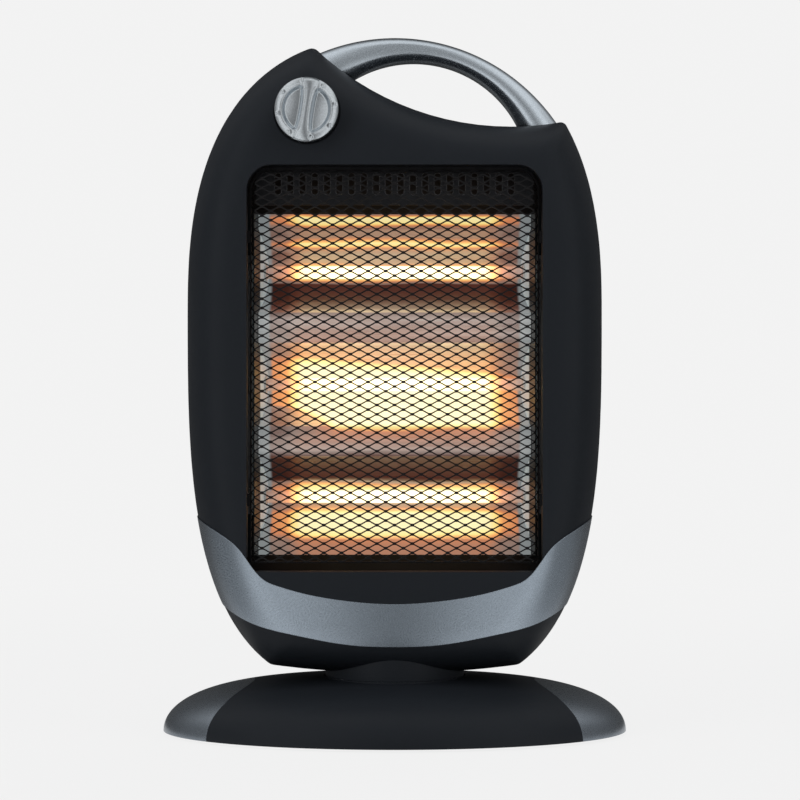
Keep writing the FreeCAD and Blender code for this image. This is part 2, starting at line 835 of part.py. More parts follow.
front_depth = size("head_front_depth")
well_end = front_depth - size("well_depth")
window_cut = window("window_cut", 0, 0, front_depth + size("overrun"))
well_block = window("well_block", size("well_wall"), well_end, front_depth + size("overrun"))
well = common("well", well_block, front_sunk)

# Handle


def handle_solid(name, grow, round_radius):
    """The arched handle, with an allowance all round, from tang to tang."""
    outer = size("handle_outer_radius")
    centre = Vector(0, 0, size("handle_outer_height"))
    hollow = Vector(size("handle_inner_x"), 0, size("handle_inner_height"))
    inner = size("handle_inner_radius")
    left = [centre + Vector(x * outer, 0, z * outer) for x, z in LEFT_TANG_SHARES]
    right = [centre + Vector(x * outer, 0, z * outer) for x, z in RIGHT_TANG_SHARES]

    def on(point, hub, radius):
        ray = point - hub
        ray.normalize()
        return hub + ray * radius

    left[0] = on(left[0], centre, outer + grow)
    right[0] = on(right[0], centre, outer + grow)
    left[3] = on(left[3], hollow, inner - grow)
    right[3] = on(right[3], hollow, inner - grow)
    edges = [arc(left[0], centre + Vector(0, 0, outer + grow), right[0])]
    edges += Part.makePolygon(right).Edges
    edges.append(arc(right[3], hollow + Vector(0, 0, inner - grow), left[3]))
    edges += Part.makePolygon([left[3], left[2], left[1], left[0]]).Edges
    half = size("handle_depth") / 2 + grow
    profile = Part.Face(Part.Wire(edges))
    profile.translate(Vector(0, -half, 0))
    solid = profile.extrude(Vector(0, 2 * half, 0))
    if round_radius > 0:
        bows = [edge for edge in solid.Edges if edge.Curve.TypeId == "Part::GeomCircle"]
        solid = solid.makeFillet(round_radius, bows)
    return made(name, solid)


handle_blank = handle_solid("handle_blank", 0, size("handle_round"))
handle_hollow = handle_solid("handle_hollow", -size("handle_wall"), 0)
handle_slot = handle_solid("handle_slot", size("handle_seam"), size("handle_round"))
handle_shell = cut("handle_shell", handle_blank, handle_hollow)
SPAN = "head_width"
for side, low_y in (("front", "-handle_depth"), ("rear", "0")):
    half = box("handle_half_" + side, ("-" + SPAN, low_y, "0"),
               ("2 * " + SPAN, "handle_depth", "2 * " + SPAN))
    node(common("handle_" + side, handle_shell, half), "handle_" + side)

# Shell joints: pillars, shield bosses, floor seat and knob seat

PILLARS = []
for across, up in PILLAR_SHARES:
    for sign in ("", "-"):
        PILLARS.append((sign + "head_width / 2 * %s" % across, "head_waist_height * %s" % up))
SHIELD_BOSSES = []
for up in SHIELD_SCREW_HEIGHT_SHARES:
    for sign in ("", "-"):
        SHIELD_BOSSES.append((sign + "shield_boss_x", "head_waist_height * %s" % up))

front_posts = []
front_pilots = []
rear_posts = []
rear_bores = []
for number, (x, z) in enumerate(PILLARS):
    post = rod("front_post_%d" % number, "pillar_radius", "head_front_depth", (x, "-head_front_depth", z),
               "y")
    front_posts.append(common("front_pillar_%d" % number, front_sunk, post))
    front_pilots.append(rod("front_pilot_%d" % number, "screw_radius + screw_gap", "screw_length",
                            (x, "-screw_length", z), "y"))
    post = rod("rear_post_%d" % number, "pillar_radius", "head_rear_depth", (x, "0", z), "y")
    rear_posts.append(common("rear_pillar_%d" % number, rear_sunk, post))
    rear_bores.append(rod("rear_bore_%d" % number, "screw_radius + screw_gap", "head_rear_depth",
                          (x, "-overrun", z), "y"))
    rear_bores.append(rod("rear_sink_%d" % number, "screw_head_radius + screw_gap", "head_rear_depth",
                          (x, "pillar_seat", z), "y"))
for number, (x, z) in enumerate(SHIELD_BOSSES):
    post = rod("shield_post_%d" % number, "shield_boss_radius", "head_front_depth - shield_front",
               (x, "-head_front_depth", z), "y")
    front_posts.append(common("shield_pillar_%d" % number, front_sunk, post))
    front_pilots.append(rod("shield_pilot_%d" % number, "screw_radius + screw_gap", "screw_length / 2",
                            (x, "-shield_front - screw_length / 2", z), "y"))
floor_seat = rod("floor_seat", "floor_seat_radius", "floor_seat_top - collar_bottom",
                 ("0", "0", "collar_bottom"))
neck_opening = rod("neck_opening", "neck_tube_radius + screw_gap", "turntable_top",
                   ("0", "0", "collar_bottom"))
knob_seat = rod("knob_seat", "knob_radius + knob_seat_margin + head_wall", "knob_seat_thickness",
                ("-knob_x", "-head_front_depth", "knob_height"), "y")
knob_sink = rod("knob_sink", "knob_radius + knob_seat_margin", "head_front_depth",
                ("-knob_x", "-2 * head_front_depth + knob_seat_sink", "knob_height"), "y")
spindle_hole = rod("spindle_hole", "spindle_radius + switch_clear", "head_front_depth",
                   ("-knob_x", "-head_front_depth - overrun", "knob_height"), "y")

front_floor_seat = common("front_floor_seat", front_sunk, floor_seat)
front_knob_seat = common("front_knob_seat", front_sunk, knob_seat)
front_shell = cut("front_shell", front_outside, front_inside)
front_body = fuse("front_body", front_shell, well, front_floor_seat, front_knob_seat, *front_posts)
front_opened = cut("front_opened", front_body, window_cut)
front_slotted = cut("front_slotted", front_opened, handle_slot)
front_bored = cut("front_bored", front_slotted, spindle_hole, *front_pilots)
node(cut("front_cover", front_bored, trim_band, knob_sink, neck_opening), "front_cover")

rear_floor_seat = common("rear_floor_seat", rear_sunk, floor_seat)
rear_shell = cut("rear_shell", rear_outside, rear_inside)
rear_body = fuse("rear_body", rear_shell, rear_floor_seat, *rear_posts)
louvres = []
for height in ("louvre_upper_height", "louvre_lower_height"):
    for number in range(LOUVRE_COUNT):
        step = number - (LOUVRE_COUNT - 1) / 2
        low_x = "louvre_pitch * %s - louvre_width / 2" % step
        louvres.append(box("louvre", (low_x, "head_rear_depth / 2", height + " - louvre_height / 2"),
                           ("louvre_width", "head_rear_depth", "louvre_height")))
node(cut("rear_cover", rear_body, handle_slot, neck_opening, *rear_bores, *louvres), "rear_cover")

cover_screws = []
for number, (x, z) in enumerate(PILLARS):
    cover_screws.append(screw("cover_screw_%d" % number, (x, "-screw_length + overrun", z),
                              "screw_length + pillar_seat - overrun", "y"))
node(group("cover_screws", *cover_screws), "cover_screws")

# Grille: a tray of expanded sheet, one holed face with a bent skirt behind it


def net_face(half_width, low, high, y):
    """A flat net of diamond gaps inside a plain rim."""
    rim = size("grille_rim")
    strand = size("grille_strand")
    outer = Part.makePolygon([Vector(-half_width, y, low), Vector(half_width, y, low),
                              Vector(half_width, y, high), Vector(-half_width, y, high),
                              Vector(-half_width, y, low)])
    pitch_x = 2 * (half_width - rim) / NET_COLUMNS
    pitch_z = (high - low - 2 * rim) / NET_ROWS
    half_x = (pitch_x - strand) / 2
    half_z = (pitch_z - strand) / 2
    gaps = []
    for row in range(2 * NET_ROWS - 1):
        columns = NET_COLUMNS - row % 2
        z = low + rim + pitch_z * (row + 1) / 2
        for column in range(columns):
            x = pitch_x * (column - (columns - 1) / 2)
            gap = [Vector(x - half_x, y, z), Vector(x, y, z + half_z), Vector(x + half_x, y, z),
                   Vector(x, y, z - half_z), Vector(x - half_x, y, z)]
            gaps.append(Part.makePolygon(gap))
    return Part.Face([outer] + gaps)


def frame_loft(near, far, half_near, half_far, low_near, low_far, high_near, high_far):
    """A four-sided solid between two upright rectangles."""
    wires = []
    for y, half, low, high in ((near, half_near, low_near, high_near), (far, half_far, low_far, high_far)):
        wires.append(Part.makePolygon([Vector(-half, y, low), Vector(half, y, low), Vector(half, y, high),
                                       Vector(-half, y, high), Vector(-half, y, low)]))
    return Part.makeLoft(wires, True, True)


grille_front = -(front_depth - size("grille_recess"))
grille_back = grille_front + size("grille_tray_depth")
tray_half = size("window_width") / 2 - size("grille_side_gap")
tray_low = size("window_centre_height") - size("window_height") / 2 + size("grille_margin")
tray_high = size("window_centre_height") + size("window_height") / 2 - size("grille_side_gap")
bend = size("grille_bend")
sheet_metal = size("grille_sheet")
net = net_face(tray_half - bend, tray_low, tray_high - bend,
               grille_front).extrude(Vector(0, sheet_metal, 0))
tray = frame_loft(grille_front, grille_back, tray_half - bend, tray_half, tray_low, tray_low,
                  tray_high - bend, tray_high)
tray_room = frame_loft(grille_front, grille_back, tray_half - bend - sheet_metal, tray_half - sheet_metal,
                       tray_low + sheet_metal, tray_low + sheet_metal, tray_high - bend - sheet_metal,
                       tray_high - sheet_metal)
grille_blank = made("grille_blank", tray.cut(tray_room).fuse(net))
grille_room = window("grille_room", -size("grille_side_gap"), 0, front_depth)
node(common("grille", grille_blank, grille_room), "grille")

clips = []
for number, (side, sign) in enumerate(((1, ""), (1, "-"), (-1, ""), (-1, "-"))):
    low_x = "window_width / 2 - grille_side_gap"
    if side < 0:
        low_x = "-window_width / 2"
    clips.append(box("clip_%d" % number,
                     (low_x, "-head_front_depth + grille_recess + grille_tray_depth - clip_depth",
                      "window_centre_height - clip_height / 2 %s clip_spread" % (sign or "+")),
                     ("grille_side_gap", "clip_depth", "clip_height")))
node(group("grille_clips", *clips), "grille_clips")

# Heat shield: a pan with a flange, screwed to bosses behind the window

SHIELD_HEIGHT = "shield_top - shield_bottom"
pan_out = box("pan_out", ("-shield_width / 2", "-shield_front", "shield_bottom"),
              ("shield_width", "shield_front + shield_rear", SHIELD_HEIGHT))
side_flange = box("side_flange",
                  ("-shield_width / 2 - shield_flange", "-shield_front", "shield_bottom + flange_corner"),
                  ("shield_width + 2 * shield_flange", "shield_sheet",
                   SHIELD_HEIGHT + " - 2 * flange_corner"))
end_flange = box("end_flange",
                 ("-shield_width / 2 + flange_corner", "-shield_front", "shield_bottom - shield_flange"),
                 ("shield_width - 2 * flange_corner", "shield_sheet",
                  SHIELD_HEIGHT + " + 2 * shield_flange"))
pan_room = box("pan_room",
        ("-shield_width / 2 + shield_sheet", "-shield_front - overrun", "shield_bottom + shield_sheet"),
               ("shield_width - 2 * shield_sheet", "shield_front + shield_rear + overrun - shield_sheet",
                SHIELD_HEIGHT + " - 2 * shield_sheet"))
pan_holes = []
shield_screws = []
for number, (x, z) in enumerate(SHIELD_BOSSES):
    pan_holes.append(rod("pan_hole_%d" % number, "screw_radius + screw_gap", "2 * overrun",
                         (x, "-shield_front - overrun", z), "y"))
    shield_screws.append(screw("shield_screw_%d" % number,
                               (x, "-shield_front - screw_length / 2 + overrun", z),
                               "screw_length / 2 - overrun + shield_sheet", "y"))
node(cut("heat_shield", fuse("pan_blank", pan_out, side_flange, end_flange), pan_room, *pan_holes),
     "heat_shield")
node(group("shield_screws", *shield_screws), "shield_screws")

# Reflector: three troughs in one polished sheet, between two flared side plates

TUBE_STEPS = (("lower", -1), ("middle", 0), ("upper", 1))
reflector_low = size("tube_middle_height") - 1.5 * size("tube_pitch")
reflector_high = size("tube_middle_height") + 1.5 * size("tube_pitch")


def reflector_edges(shift):
    """Section of the troughs from bottom to top, moved back by a shift."""
    rear = size("reflector_rear") - size("reflector_sheet") + shift
    front = rear - size("trough_depth")
    half = size("trough_width") / 2
    edges = []
    last = Vector(0, front, reflector_low)
    for name, step in TUBE_STEPS:
        middle = size("tube_middle_height") + step * size("tube_pitch")
        start = Vector(0, front, middle - half)
        finish = Vector(0, front, middle + half)
        edges.append(Part.LineSegment(last, start).toShape())
        bow = Part.BezierCurve()
        bow.setPoles([start, Vector(0, 2 * rear - front, middle), finish])
        edges.append(bow.toShape())
        last = finish
    edges.append(Part.LineSegment(last, Vector(0, front, reflector_high)).toShape())
    return edges


front_edges = reflector_edges(0)
back_edges = reflector_edges(size("reflector_sheet"))
low_end = Part.LineSegment(front_edges[0].Vertexes[0].Point, back_edges[0].Vertexes[0].Point).toShape()
high_end = Part.LineSegment(front_edges[-1].Vertexes[-1].Point, back_edges[-1].Vertexes[-1].Point).toShape()
section = Part.Wire(Part.sortEdges(front_edges + back_edges + [low_end, high_end])[0])
sheet_run = Part.Face(section)
sheet_run.translate(Vector(-size("reflector_front_width"), 0, 0))
trough_blank = made("trough_blank", sheet_run.extrude(Vector(2 * size("reflector_front_width"), 0, 0)))
BACK_HALF = "reflector_back_width / 2"
FRONT_HALF = "reflector_front_width / 2"
reflector_plan = bent("reflector_plan", "XY_Plane",
                      (("-(%s) + reflector_margin" % BACK_HALF, "reflector_rear"),
                       (BACK_HALF + " - reflector_margin", "reflector_rear"),
                       (FRONT_HALF + " - reflector_margin", "-reflector_front"),
                       ("-(%s) + reflector_margin" % FRONT_HALF, "-reflector_front")),
                      "4 * shield_top")
node(common("reflector", trough_blank, reflector_plan), "reflector")

for side, sign in (("left", "-"), ("right", "")):
    plate = bent("side_plate_" + side, "XY_Plane",
                 ((sign + "(%s)" % BACK_HALF, "reflector_rear"),
                  (sign + "(%s + side_sheet)" % BACK_HALF, "reflector_rear"),
                  (sign + "(%s + side_sheet)" % FRONT_HALF, "-reflector_front"),
                  (sign + "(%s)" % FRONT_HALF, "-reflector_front")),
                 "3 * tube_pitch")
    place(plate, z="tube_middle_height")
    holes = []
    for name, step in TUBE_STEPS:
        low_x = "0" if sign == "" else "-shield_width / 2"
        holes.append(rod("side_hole_%s_%s" % (side, name), "side_hole_radius", "shield_width / 2",
                         (low_x, "-tube_depth", "tube_middle_height + tube_pitch * %d" % step), "x"))
    node(cut("reflector_side_" + side, plate, *holes), "reflector_side_" + side)

# Vent panel above the reflector: a slotted sheet with a lip bent back over the troughs

vent_sheet_body = bent("vent_sheet_body", "YZ_Plane",
                       (("-vent_front", "vent_bottom"), ("-vent_front + vent_lip", "vent_bottom"),
                        ("-vent_front + vent_lip", "vent_bottom + vent_sheet"),
                        ("-vent_front + vent_sheet", "vent_bottom + vent_sheet"),
                        ("-vent_front + vent_sheet", "vent_top"), ("-vent_front", "vent_top")),
                       "vent_width")
slots = []
SLOT_DEPTH = "vent_sheet + 2 * overrun"
SLOT_RUN = "vent_slot_height - vent_slot_width"
for number in range(VENT_SLOT_COUNT):
    x = "vent_slot_pitch * %s" % (number - (VENT_SLOT_COUNT - 1) / 2)
    low = "vent_slot_centre - (%s) / 2" % SLOT_RUN
    high = "vent_slot_centre + (%s) / 2" % SLOT_RUN
    middle = box("slot_middle", (x + " - vent_slot_width / 2", "-vent_front - overrun", low),
                 ("vent_slot_width", SLOT_DEPTH, SLOT_RUN))
    ends = [rod("slot_end", "vent_slot_width / 2", SLOT_DEPTH, (x, "-vent_front - overrun", z), "y")
            for z in (low, high)]
    slots.append(fuse("vent_slot", middle, *ends))
node(cut("vent_panel", vent_sheet_body, *slots), "vent_panel")

# Halogen tubes with their filaments, ceramic caps and holders

caps = {"left": [], "right": []}
for name, step in TUBE_STEPS:
    height = "tube_middle_height + tube_pitch * %d" % step
    axis = ("-tube_half_length", "-tube_depth", height)
    glass = rod("glass_" + name, "tube_radius", "2 * tube_half_length", axis, "x")
    bore = rod("glass_bore_" + name, "tube_radius - tube_wall", "2 * tube_half_length + 2 * overrun",
               ("-tube_half_length - overrun", "-tube_depth", height), "x")
    node(cut("quartz_tube_" + name, glass, bore), "quartz_tube_" + name)
    wire = rod("filament_wire_" + name, "filament_radius", "2 * filament_half_length",
               ("-filament_half_length", "-tube_depth", height), "x")
    lead_in = rod("filament_lead_" + name, "filament_radius / 3", "2 * tube_half_length", axis, "x")
    discs = []
    for number, low_x in enumerate(("-filament_half_length", "filament_half_length - tube_wall")):
        discs.append(rod("filament_disc_%s_%d" % (name, number), "tube_radius - tube_wall", "tube_wall",
                         (low_x, "-tube_depth", height), "x"))
    node(fuse("filament_" + name, wire, lead_in, *discs), "filament_" + name)
    for side, low_x, pin_x, sink_x in (
            ("left", "-tube_half_length - cap_length / 2",
             "-tube_half_length - cap_length / 2 - cap_pin_length",
             "-tube_half_length"),
            ("right", "tube_half_length - cap_length / 2", "tube_half_length + cap_length / 2",
             "tube_half_length - cap_length")):
        blank = rod("cap_blank_%s_%s" % (side, name), "cap_radius", "cap_length",
                    (low_x, "-tube_depth", height), "x")
        pin = rod("cap_pin_%s_%s" % (side, name), "cap_pin_radius", "cap_pin_length",
                  (pin_x, "-tube_depth", height), "x")
        socket = rod("cap_socket_%s_%s" % (side, name), "tube_radius", "cap_length",
                     (sink_x, "-tube_depth", height), "x")
        whole = fuse("cap_whole_%s_%s" % (side, name), blank, pin)
        caps[side].append(cut("cap_%s_%s" % (side, name), whole, socket))
for side in ("left", "right"):
    node(group("tube_caps_" + side, *caps[side]), "tube_caps_" + side)

for side, sign in (("left", "-"), ("right", "")):
    strip = bent("holder_strip_" + side, "XY_Plane",
                 ((sign + "holder_reach", "-tube_depth - holder_front"),
                  (sign + "(holder_reach + holder_sheet)", "-tube_depth - holder_front"),
                  (sign + "(holder_reach + holder_sheet)", "shield_rear - shield_sheet - holder_sheet"),
                  (sign + "(holder_reach + holder_foot)", "shield_rear - shield_sheet - holder_sheet"),
                  (sign + "(holder_reach + holder_foot)", "shield_rear - shield_sheet"),
                  (sign + "holder_reach", "shield_rear - shield_sheet")),
                 "2 * tube_pitch + 2 * holder_margin")
    place(strip, z="tube_middle_height")
    holes = []
    for name, step in TUBE_STEPS:
        low_x = "0" if sign == "" else "-shield_width / 2"
        holes.append(rod("holder_hole_%s_%s" % (side, name), "cap_radius", "shield_width / 2",
                         (low_x, "-tube_depth", "tube_middle_height + tube_pitch * %d" % step), "x"))
    node(cut("tube_holder_" + side, strip, *holes), "tube_holder_" + side)

# Knob, spindle and rotary switch

KNOB_BACK = "head_front_depth - knob_seat_sink + knob_gap"
knob_place = Vector(-size("knob_x"), 0, size("knob_height"))
knob_profile = doc.addObject("PartDesign::Body", "knob_profile")
knob_section = sketch(knob_profile, "XZ_Plane", "knob_section")
polygon(knob_section, (("0", "0"), ("knob_radius", "0"), ("knob_radius", "knob_skirt / 3"),
                       ("knob_radius - knob_gap * 2", "knob_skirt"), ("knob_crown_radius", "knob_depth"),
                       ("0", "knob_depth")))
knob_turning = knob_profile.newObject("PartDesign::Revolution", "knob_turning")
knob_turning.Profile = knob_section
knob_turning.ReferenceAxis = (knob_section, ["V_Axis"])
knob_turning.Angle = 360
refresh(knob_turning)
crown = [index + 1 for index, edge in enumerate(knob_turning.Shape.Edges)
         if abs(edge.BoundBox.ZMin - size("knob_depth")) < CLOSE
         and edge.BoundBox.XMax > size("spindle_radius")]
shoulder = [index + 1 for index, edge in enumerate(knob_turning.Shape.Edges)
            if abs(edge.BoundBox.ZMin - size("knob_skirt")) < CLOSE and abs(edge.BoundBox.ZLength) < CLOSE]
knob_fillet = knob_profile.newObject("PartDesign::Fillet", "knob_fillet")
knob_fillet.Base = (knob_turning, ["Edge%d" % number for number in crown + shoulder])
knob_fillet.setExpression("Radius", cells("knob_scoop_round"))
refresh(knob_fillet)
socket_sketch = sketch(knob_profile, "XY_Plane", "socket_sketch")
socket_sketch.addGeometry(Part.Circle(Vector(), Vector(0, 0, 1), size("spindle_radius")))
socket_sketch.addConstraint(Sketcher.Constraint("Coincident", 0, 3, -1, 1))
hold(socket_sketch, "Radius", 0, "spindle_radius")
refresh(socket_sketch)
socket_cut = knob_profile.newObject("PartDesign::Pocket", "socket_cut")
socket_cut.Profile = socket_sketch
socket_cut.Reversed = True
socket_cut.setExpression("Length", cells("knob_socket_depth"))
refresh(socket_cut)


def scoop(name, side):
    """A finger scoop beside the knob's grip: a half disc with a rounded floor."""
    grip = size("knob_grip_width") / 2
    reach = size("knob_scoop_radius")
    rise = math.sqrt(reach ** 2 - grip ** 2)
    floor = size("knob_depth") - size("knob_scoop_depth")
    top = Vector(side * grip, rise, floor)
    bottom = Vector(side * grip, -rise, floor)
    wire = Part.Wire([Part.LineSegment(bottom, top).toShape(),
                      arc(top, Vector(side * reach, 0, floor), bottom)])
    block = Part.Face(wire).extrude(Vector(0, 0, size("knob_depth")))
    upright = [edge for edge in block.Edges if edge.BoundBox.ZLength > size("knob_scoop_depth")]
    block = block.makeFillet(size("knob_scoop_round"), upright)
    rim = [edge for edge in block.Edges if abs(edge.BoundBox.ZMax - floor) < CLOSE]
    return made(name, block.makeFillet(size("knob_scoop_round"), rim))


dimples = []
for number in range(DIMPLE_COUNT):
    turn = math.radians(GRIP_LEAN) + 2 * math.pi * number / DIMPLE_COUNT
    ring = size("knob_dimple_ring")
    ball = Part.makeSphere(size("knob_dimple_radius"))
    ball.translate(Vector(ring * math.cos(turn), ring * math.sin(turn),
                          size("knob_depth") - size("knob_dimple_depth")))
    dimples.append(ball)
knob_dimples = made("knob_dimples", Part.makeCompound(dimples))
knob_carved = cut("knob_carved", knob_profile, scoop("scoop_left", -1), scoop("scoop_right", 1),
                  knob_dimples)
lean_turn = FreeCAD.Rotation(Vector(0, 0, 1), -GRIP_LEAN)
upright_turn = FreeCAD.Rotation(Vector(1, 0, 0), 90).multiply(lean_turn)
place(knob_carved, "-knob_x", "-(%s)" % KNOB_BACK, "knob_height", upright_turn)
node(knob_carved, "knob")

SWITCH_FRONT = "head_front_depth - knob_seat_thickness"
switch_blank = box("switch_blank",
                   ("-knob_x - switch_width / 2", "-(%s)" % SWITCH_FRONT,
                    "knob_height - switch_height / 2"),
                   ("switch_width", "switch_depth", "switch_height"))
switch_socket = rod("switch_socket_tool", "spindle_radius + spindle_gap", "switch_socket + overrun",
                    ("-knob_x", "-(%s) - overrun" % SWITCH_FRONT, "knob_height"), "y")
node(cut("rotary_switch", switch_blank, switch_socket), "rotary_switch")
node(rod("switch_spindle", "spindle_radius", "%s + knob_socket_depth - (%s) + switch_socket - spindle_gap"
         % (KNOB_BACK, SWITCH_FRONT),
         ("-knob_x", "-(%s) - knob_socket_depth" % KNOB_BACK, "knob_height"), "y"), "switch_spindle")

# Turntable: a neck under the head with a hollow tube down through the base

WASHER_TOP = SEAT_TOP + " + slide_washer_thickness"
node(turned("slide_washer", (("slide_washer_bore", SEAT_TOP), ("slide_washer_radius", SEAT_TOP),
                             ("slide_washer_radius", WASHER_TOP), ("slide_washer_bore", WASHER_TOP))),
     "slide_washer")
neck_blank = turned("neck_blank",
                    (("neck_bore_radius", "neck_tube_bottom"), ("neck_tube_radius", "neck_tube_bottom"),
                                   ("neck_tube_radius", WASHER_TOP + " + turn_gap"),
                                   ("turntable_radius", WASHER_TOP + " + turn_gap"),
                                   ("turntable_radius", "turntable_top"),
                                   ("neck_bore_radius", "turntable_top")))
head_blank = fuse("head_blank", front_outside, rear_outside)
neck_tube = turned("neck_tube",
                   (("neck_bore_radius", "neck_tube_bottom"), ("neck_tube_radius", "neck_tube_bottom"),
                                 ("neck_tube_radius", "neck_tube_top"),
                                 ("neck_bore_radius", "neck_tube_top")))
node(fuse("turntable", cut("neck_trimmed", neck_blank, head_blank), neck_tube), "turntable")
node(turned("clamp_ring", (("neck_tube_radius", "floor_seat_top"), ("clamp_ring_radius", "floor_seat_top"),
                           ("clamp_ring_radius", "floor_seat_top + clamp_ring_height"),
                           ("neck_tube_radius", "floor_seat_top + clamp_ring_height"))), "clamp_ring")
WASHER_LOW = "collar_bottom - turn_gap - thrust_washer_thickness"
node(turned("thrust_washer", (("neck_tube_radius", WASHER_LOW), ("thrust_washer_radius", WASHER_LOW),
                              ("thrust_washer_radius", "collar_bottom - turn_gap"),
                              ("neck_tube_radius", "collar_bottom - turn_gap"))), "thrust_washer")
ARM_LOW = WASHER_LOW + " - arm_thickness"
RING_LOW = ARM_LOW + " - lock_ring_height"
node(turned("lock_ring", (("neck_tube_radius", RING_LOW), ("lock_ring_radius", RING_LOW),
                          ("lock_ring_radius", ARM_LOW), ("neck_tube_radius", ARM_LOW))), "lock_ring")

# Swing drive: the crank's pin moves under the slot of the arm

arm_hub = rod("arm_hub", "arm_hub_radius", "arm_thickness", ("0", "0", ARM_LOW))
ARM_END = "crank_offset + crank_pin_reach + crank_pin_radius + arm_width / 2"
arm_bar = box("arm_bar", ("-arm_width / 2", "0", ARM_LOW), ("arm_width", ARM_END, "arm_thickness"))
SLOT_START = "crank_offset - crank_pin_reach / 2"
arm_slot = box("arm_slot", ("-arm_slot_width / 2", SLOT_START, ARM_LOW + " - overrun"),
               ("arm_slot_width", ARM_END + " - arm_width / 2 - (%s)" % SLOT_START,
                "arm_thickness + 2 * overrun"))
arm_bore = rod("arm_bore", "neck_tube_radius", "arm_thickness + 2 * overrun",
               ("0", "0", ARM_LOW + " - overrun"))
node(cut("swing_arm", fuse("arm_blank", arm_hub, arm_bar), arm_slot, arm_bore), "swing_arm")

crank_disc = rod("crank_disc", "crank_radius", "crank_thickness", ("0", "crank_offset", "crank_bottom"))
crank_pin = rod("crank_pin", "crank_pin_radius", ARM_LOW + " - crank_pin_gap - crank_bottom",
                ("0", "crank_offset + crank_pin_reach", "crank_bottom"))
crank_bore = rod("crank_bore", "motor_shaft_radius + motor_shaft_gap", "crank_thickness + 2 * overrun",
                 ("0", "crank_offset", "crank_bottom - overrun"))
node(cut("crank", fuse("crank_blank", crank_disc, crank_pin), crank_bore), "crank")

motor_can = rod("motor_can", "motor_radius", "motor_top - (%s)" % PLATE_TOP,
                ("0", "crank_offset", PLATE_TOP))
motor_shaft = rod("motor_shaft", "motor_shaft_radius", "crank_bottom + crank_thickness - (%s)" % PLATE_TOP,
                  ("0", "crank_offset", PLATE_TOP))
motor_ears = box("motor_ears",
        ("-motor_ear_reach - motor_ear_width / 2", "crank_offset - motor_ear_width / 2", PLATE_TOP),
                 ("2 * motor_ear_reach + motor_ear_width", "motor_ear_width", "motor_ear_thickness"))
ear_holes = []
motor_screws = []
for side, x in (("left", "-motor_ear_reach"), ("right", "motor_ear_reach")):
    ear_holes.append(rod("ear_hole_" + side, "screw_radius + screw_gap",
                         "motor_ear_thickness + 2 * overrun",
                         (x, "crank_offset", PLATE_TOP + " - overrun")))
    motor_screws.append(screw("motor_screw_" + side, (x, "crank_offset", PLATE_TOP),
                              "motor_ear_thickness", "z"))
node(cut("swing_motor", fuse("motor_blank", motor_can, motor_shaft, motor_ears), *ear_holes), "swing_motor")
node(group("motor_screws", *motor_screws), "motor_screws")

# Tip-over switch: the floor holds the plunger up, and its spring pushes it out when the base lifts

COLLAR_TOP = "tip_collar_bottom + tip_collar_thickness"
node(turned("tip_plunger", (("0", "tip_rest_gap"), ("tip_plunger_radius", "tip_rest_gap"),
                            ("tip_plunger_radius", "tip_collar_bottom"),
                            ("tip_collar_radius", "tip_collar_bottom"),
                            ("tip_collar_radius", COLLAR_TOP), ("tip_plunger_radius", COLLAR_TOP),
                            ("tip_plunger_radius", "tip_plunger_top"), ("0", "tip_plunger_top")),
            "0", "-tip_place_y"), "tip_plunger")
ROOF = "tip_housing_top - tip_housing_roof"
node(turned("tip_housing", (("tip_housing_bore", PLATE_TOP), ("tip_housing_radius", PLATE_TOP),
                            ("tip_housing_radius", "tip_housing_top"), ("0", "tip_housing_top"),
                            ("0", ROOF),
                            ("tip_housing_bore", ROOF)), "0", "-tip_place_y"), "tip_housing")
spring_low = size("tip_collar_bottom") + size("tip_collar_thickness") + size("tip_spring_wire")
spring_high = size("tip_housing_top") - size("tip_housing_roof") - size("tip_spring_wire")
spring_points = []
spring_count = int(SPRING_STEPS * size("tip_spring_turns"))
for step in range(spring_count + 1):
    turn = 2 * math.pi * step / SPRING_STEPS
    spring_points.append(Vector(size("tip_spring_radius") * math.cos(turn),
                                size("tip_spring_radius") * math.sin(turn),
                                (spring_high - spring_low) * step / spring_count))
spring_path = smooth(spring_points).toShape()
wire_run = spring_path.tangentAt(spring_path.FirstParameter)
wire_circle = Part.Wire(Part.makeCircle(size("tip_spring_wire"), spring_points[0], wire_run))
spring_solid = Part.Wire(spring_path).makePipeShell([wire_circle], True, True)
tip_spring = made("tip_spring", spring_solid)
place(tip_spring, "0", "-tip_place_y", "%s + tip_spring_wire" % COLLAR_TOP)
node(tip_spring, "tip_spring")
node(box("tip_micro_switch", ("tip_housing_radius", "-tip_place_y - micro_switch_width / 2", PLATE_TOP),
         ("micro_switch_length", "micro_switch_width", "micro_switch_height")), "tip_micro_switch")

# Behind the shield: thermal cutout, terminal block and leads

node(rod("thermal_cutout", "cutout_radius", "cutout_depth",
         ("cutout_place_x", "shield_rear", "cutout_place_height"), "y"),
     "thermal_cutout")
node(box("terminal_block", ("-terminal_width / 2", "shield_rear", "terminal_place_height"),
         ("terminal_width", "terminal_depth", "terminal_height")), "terminal_block")


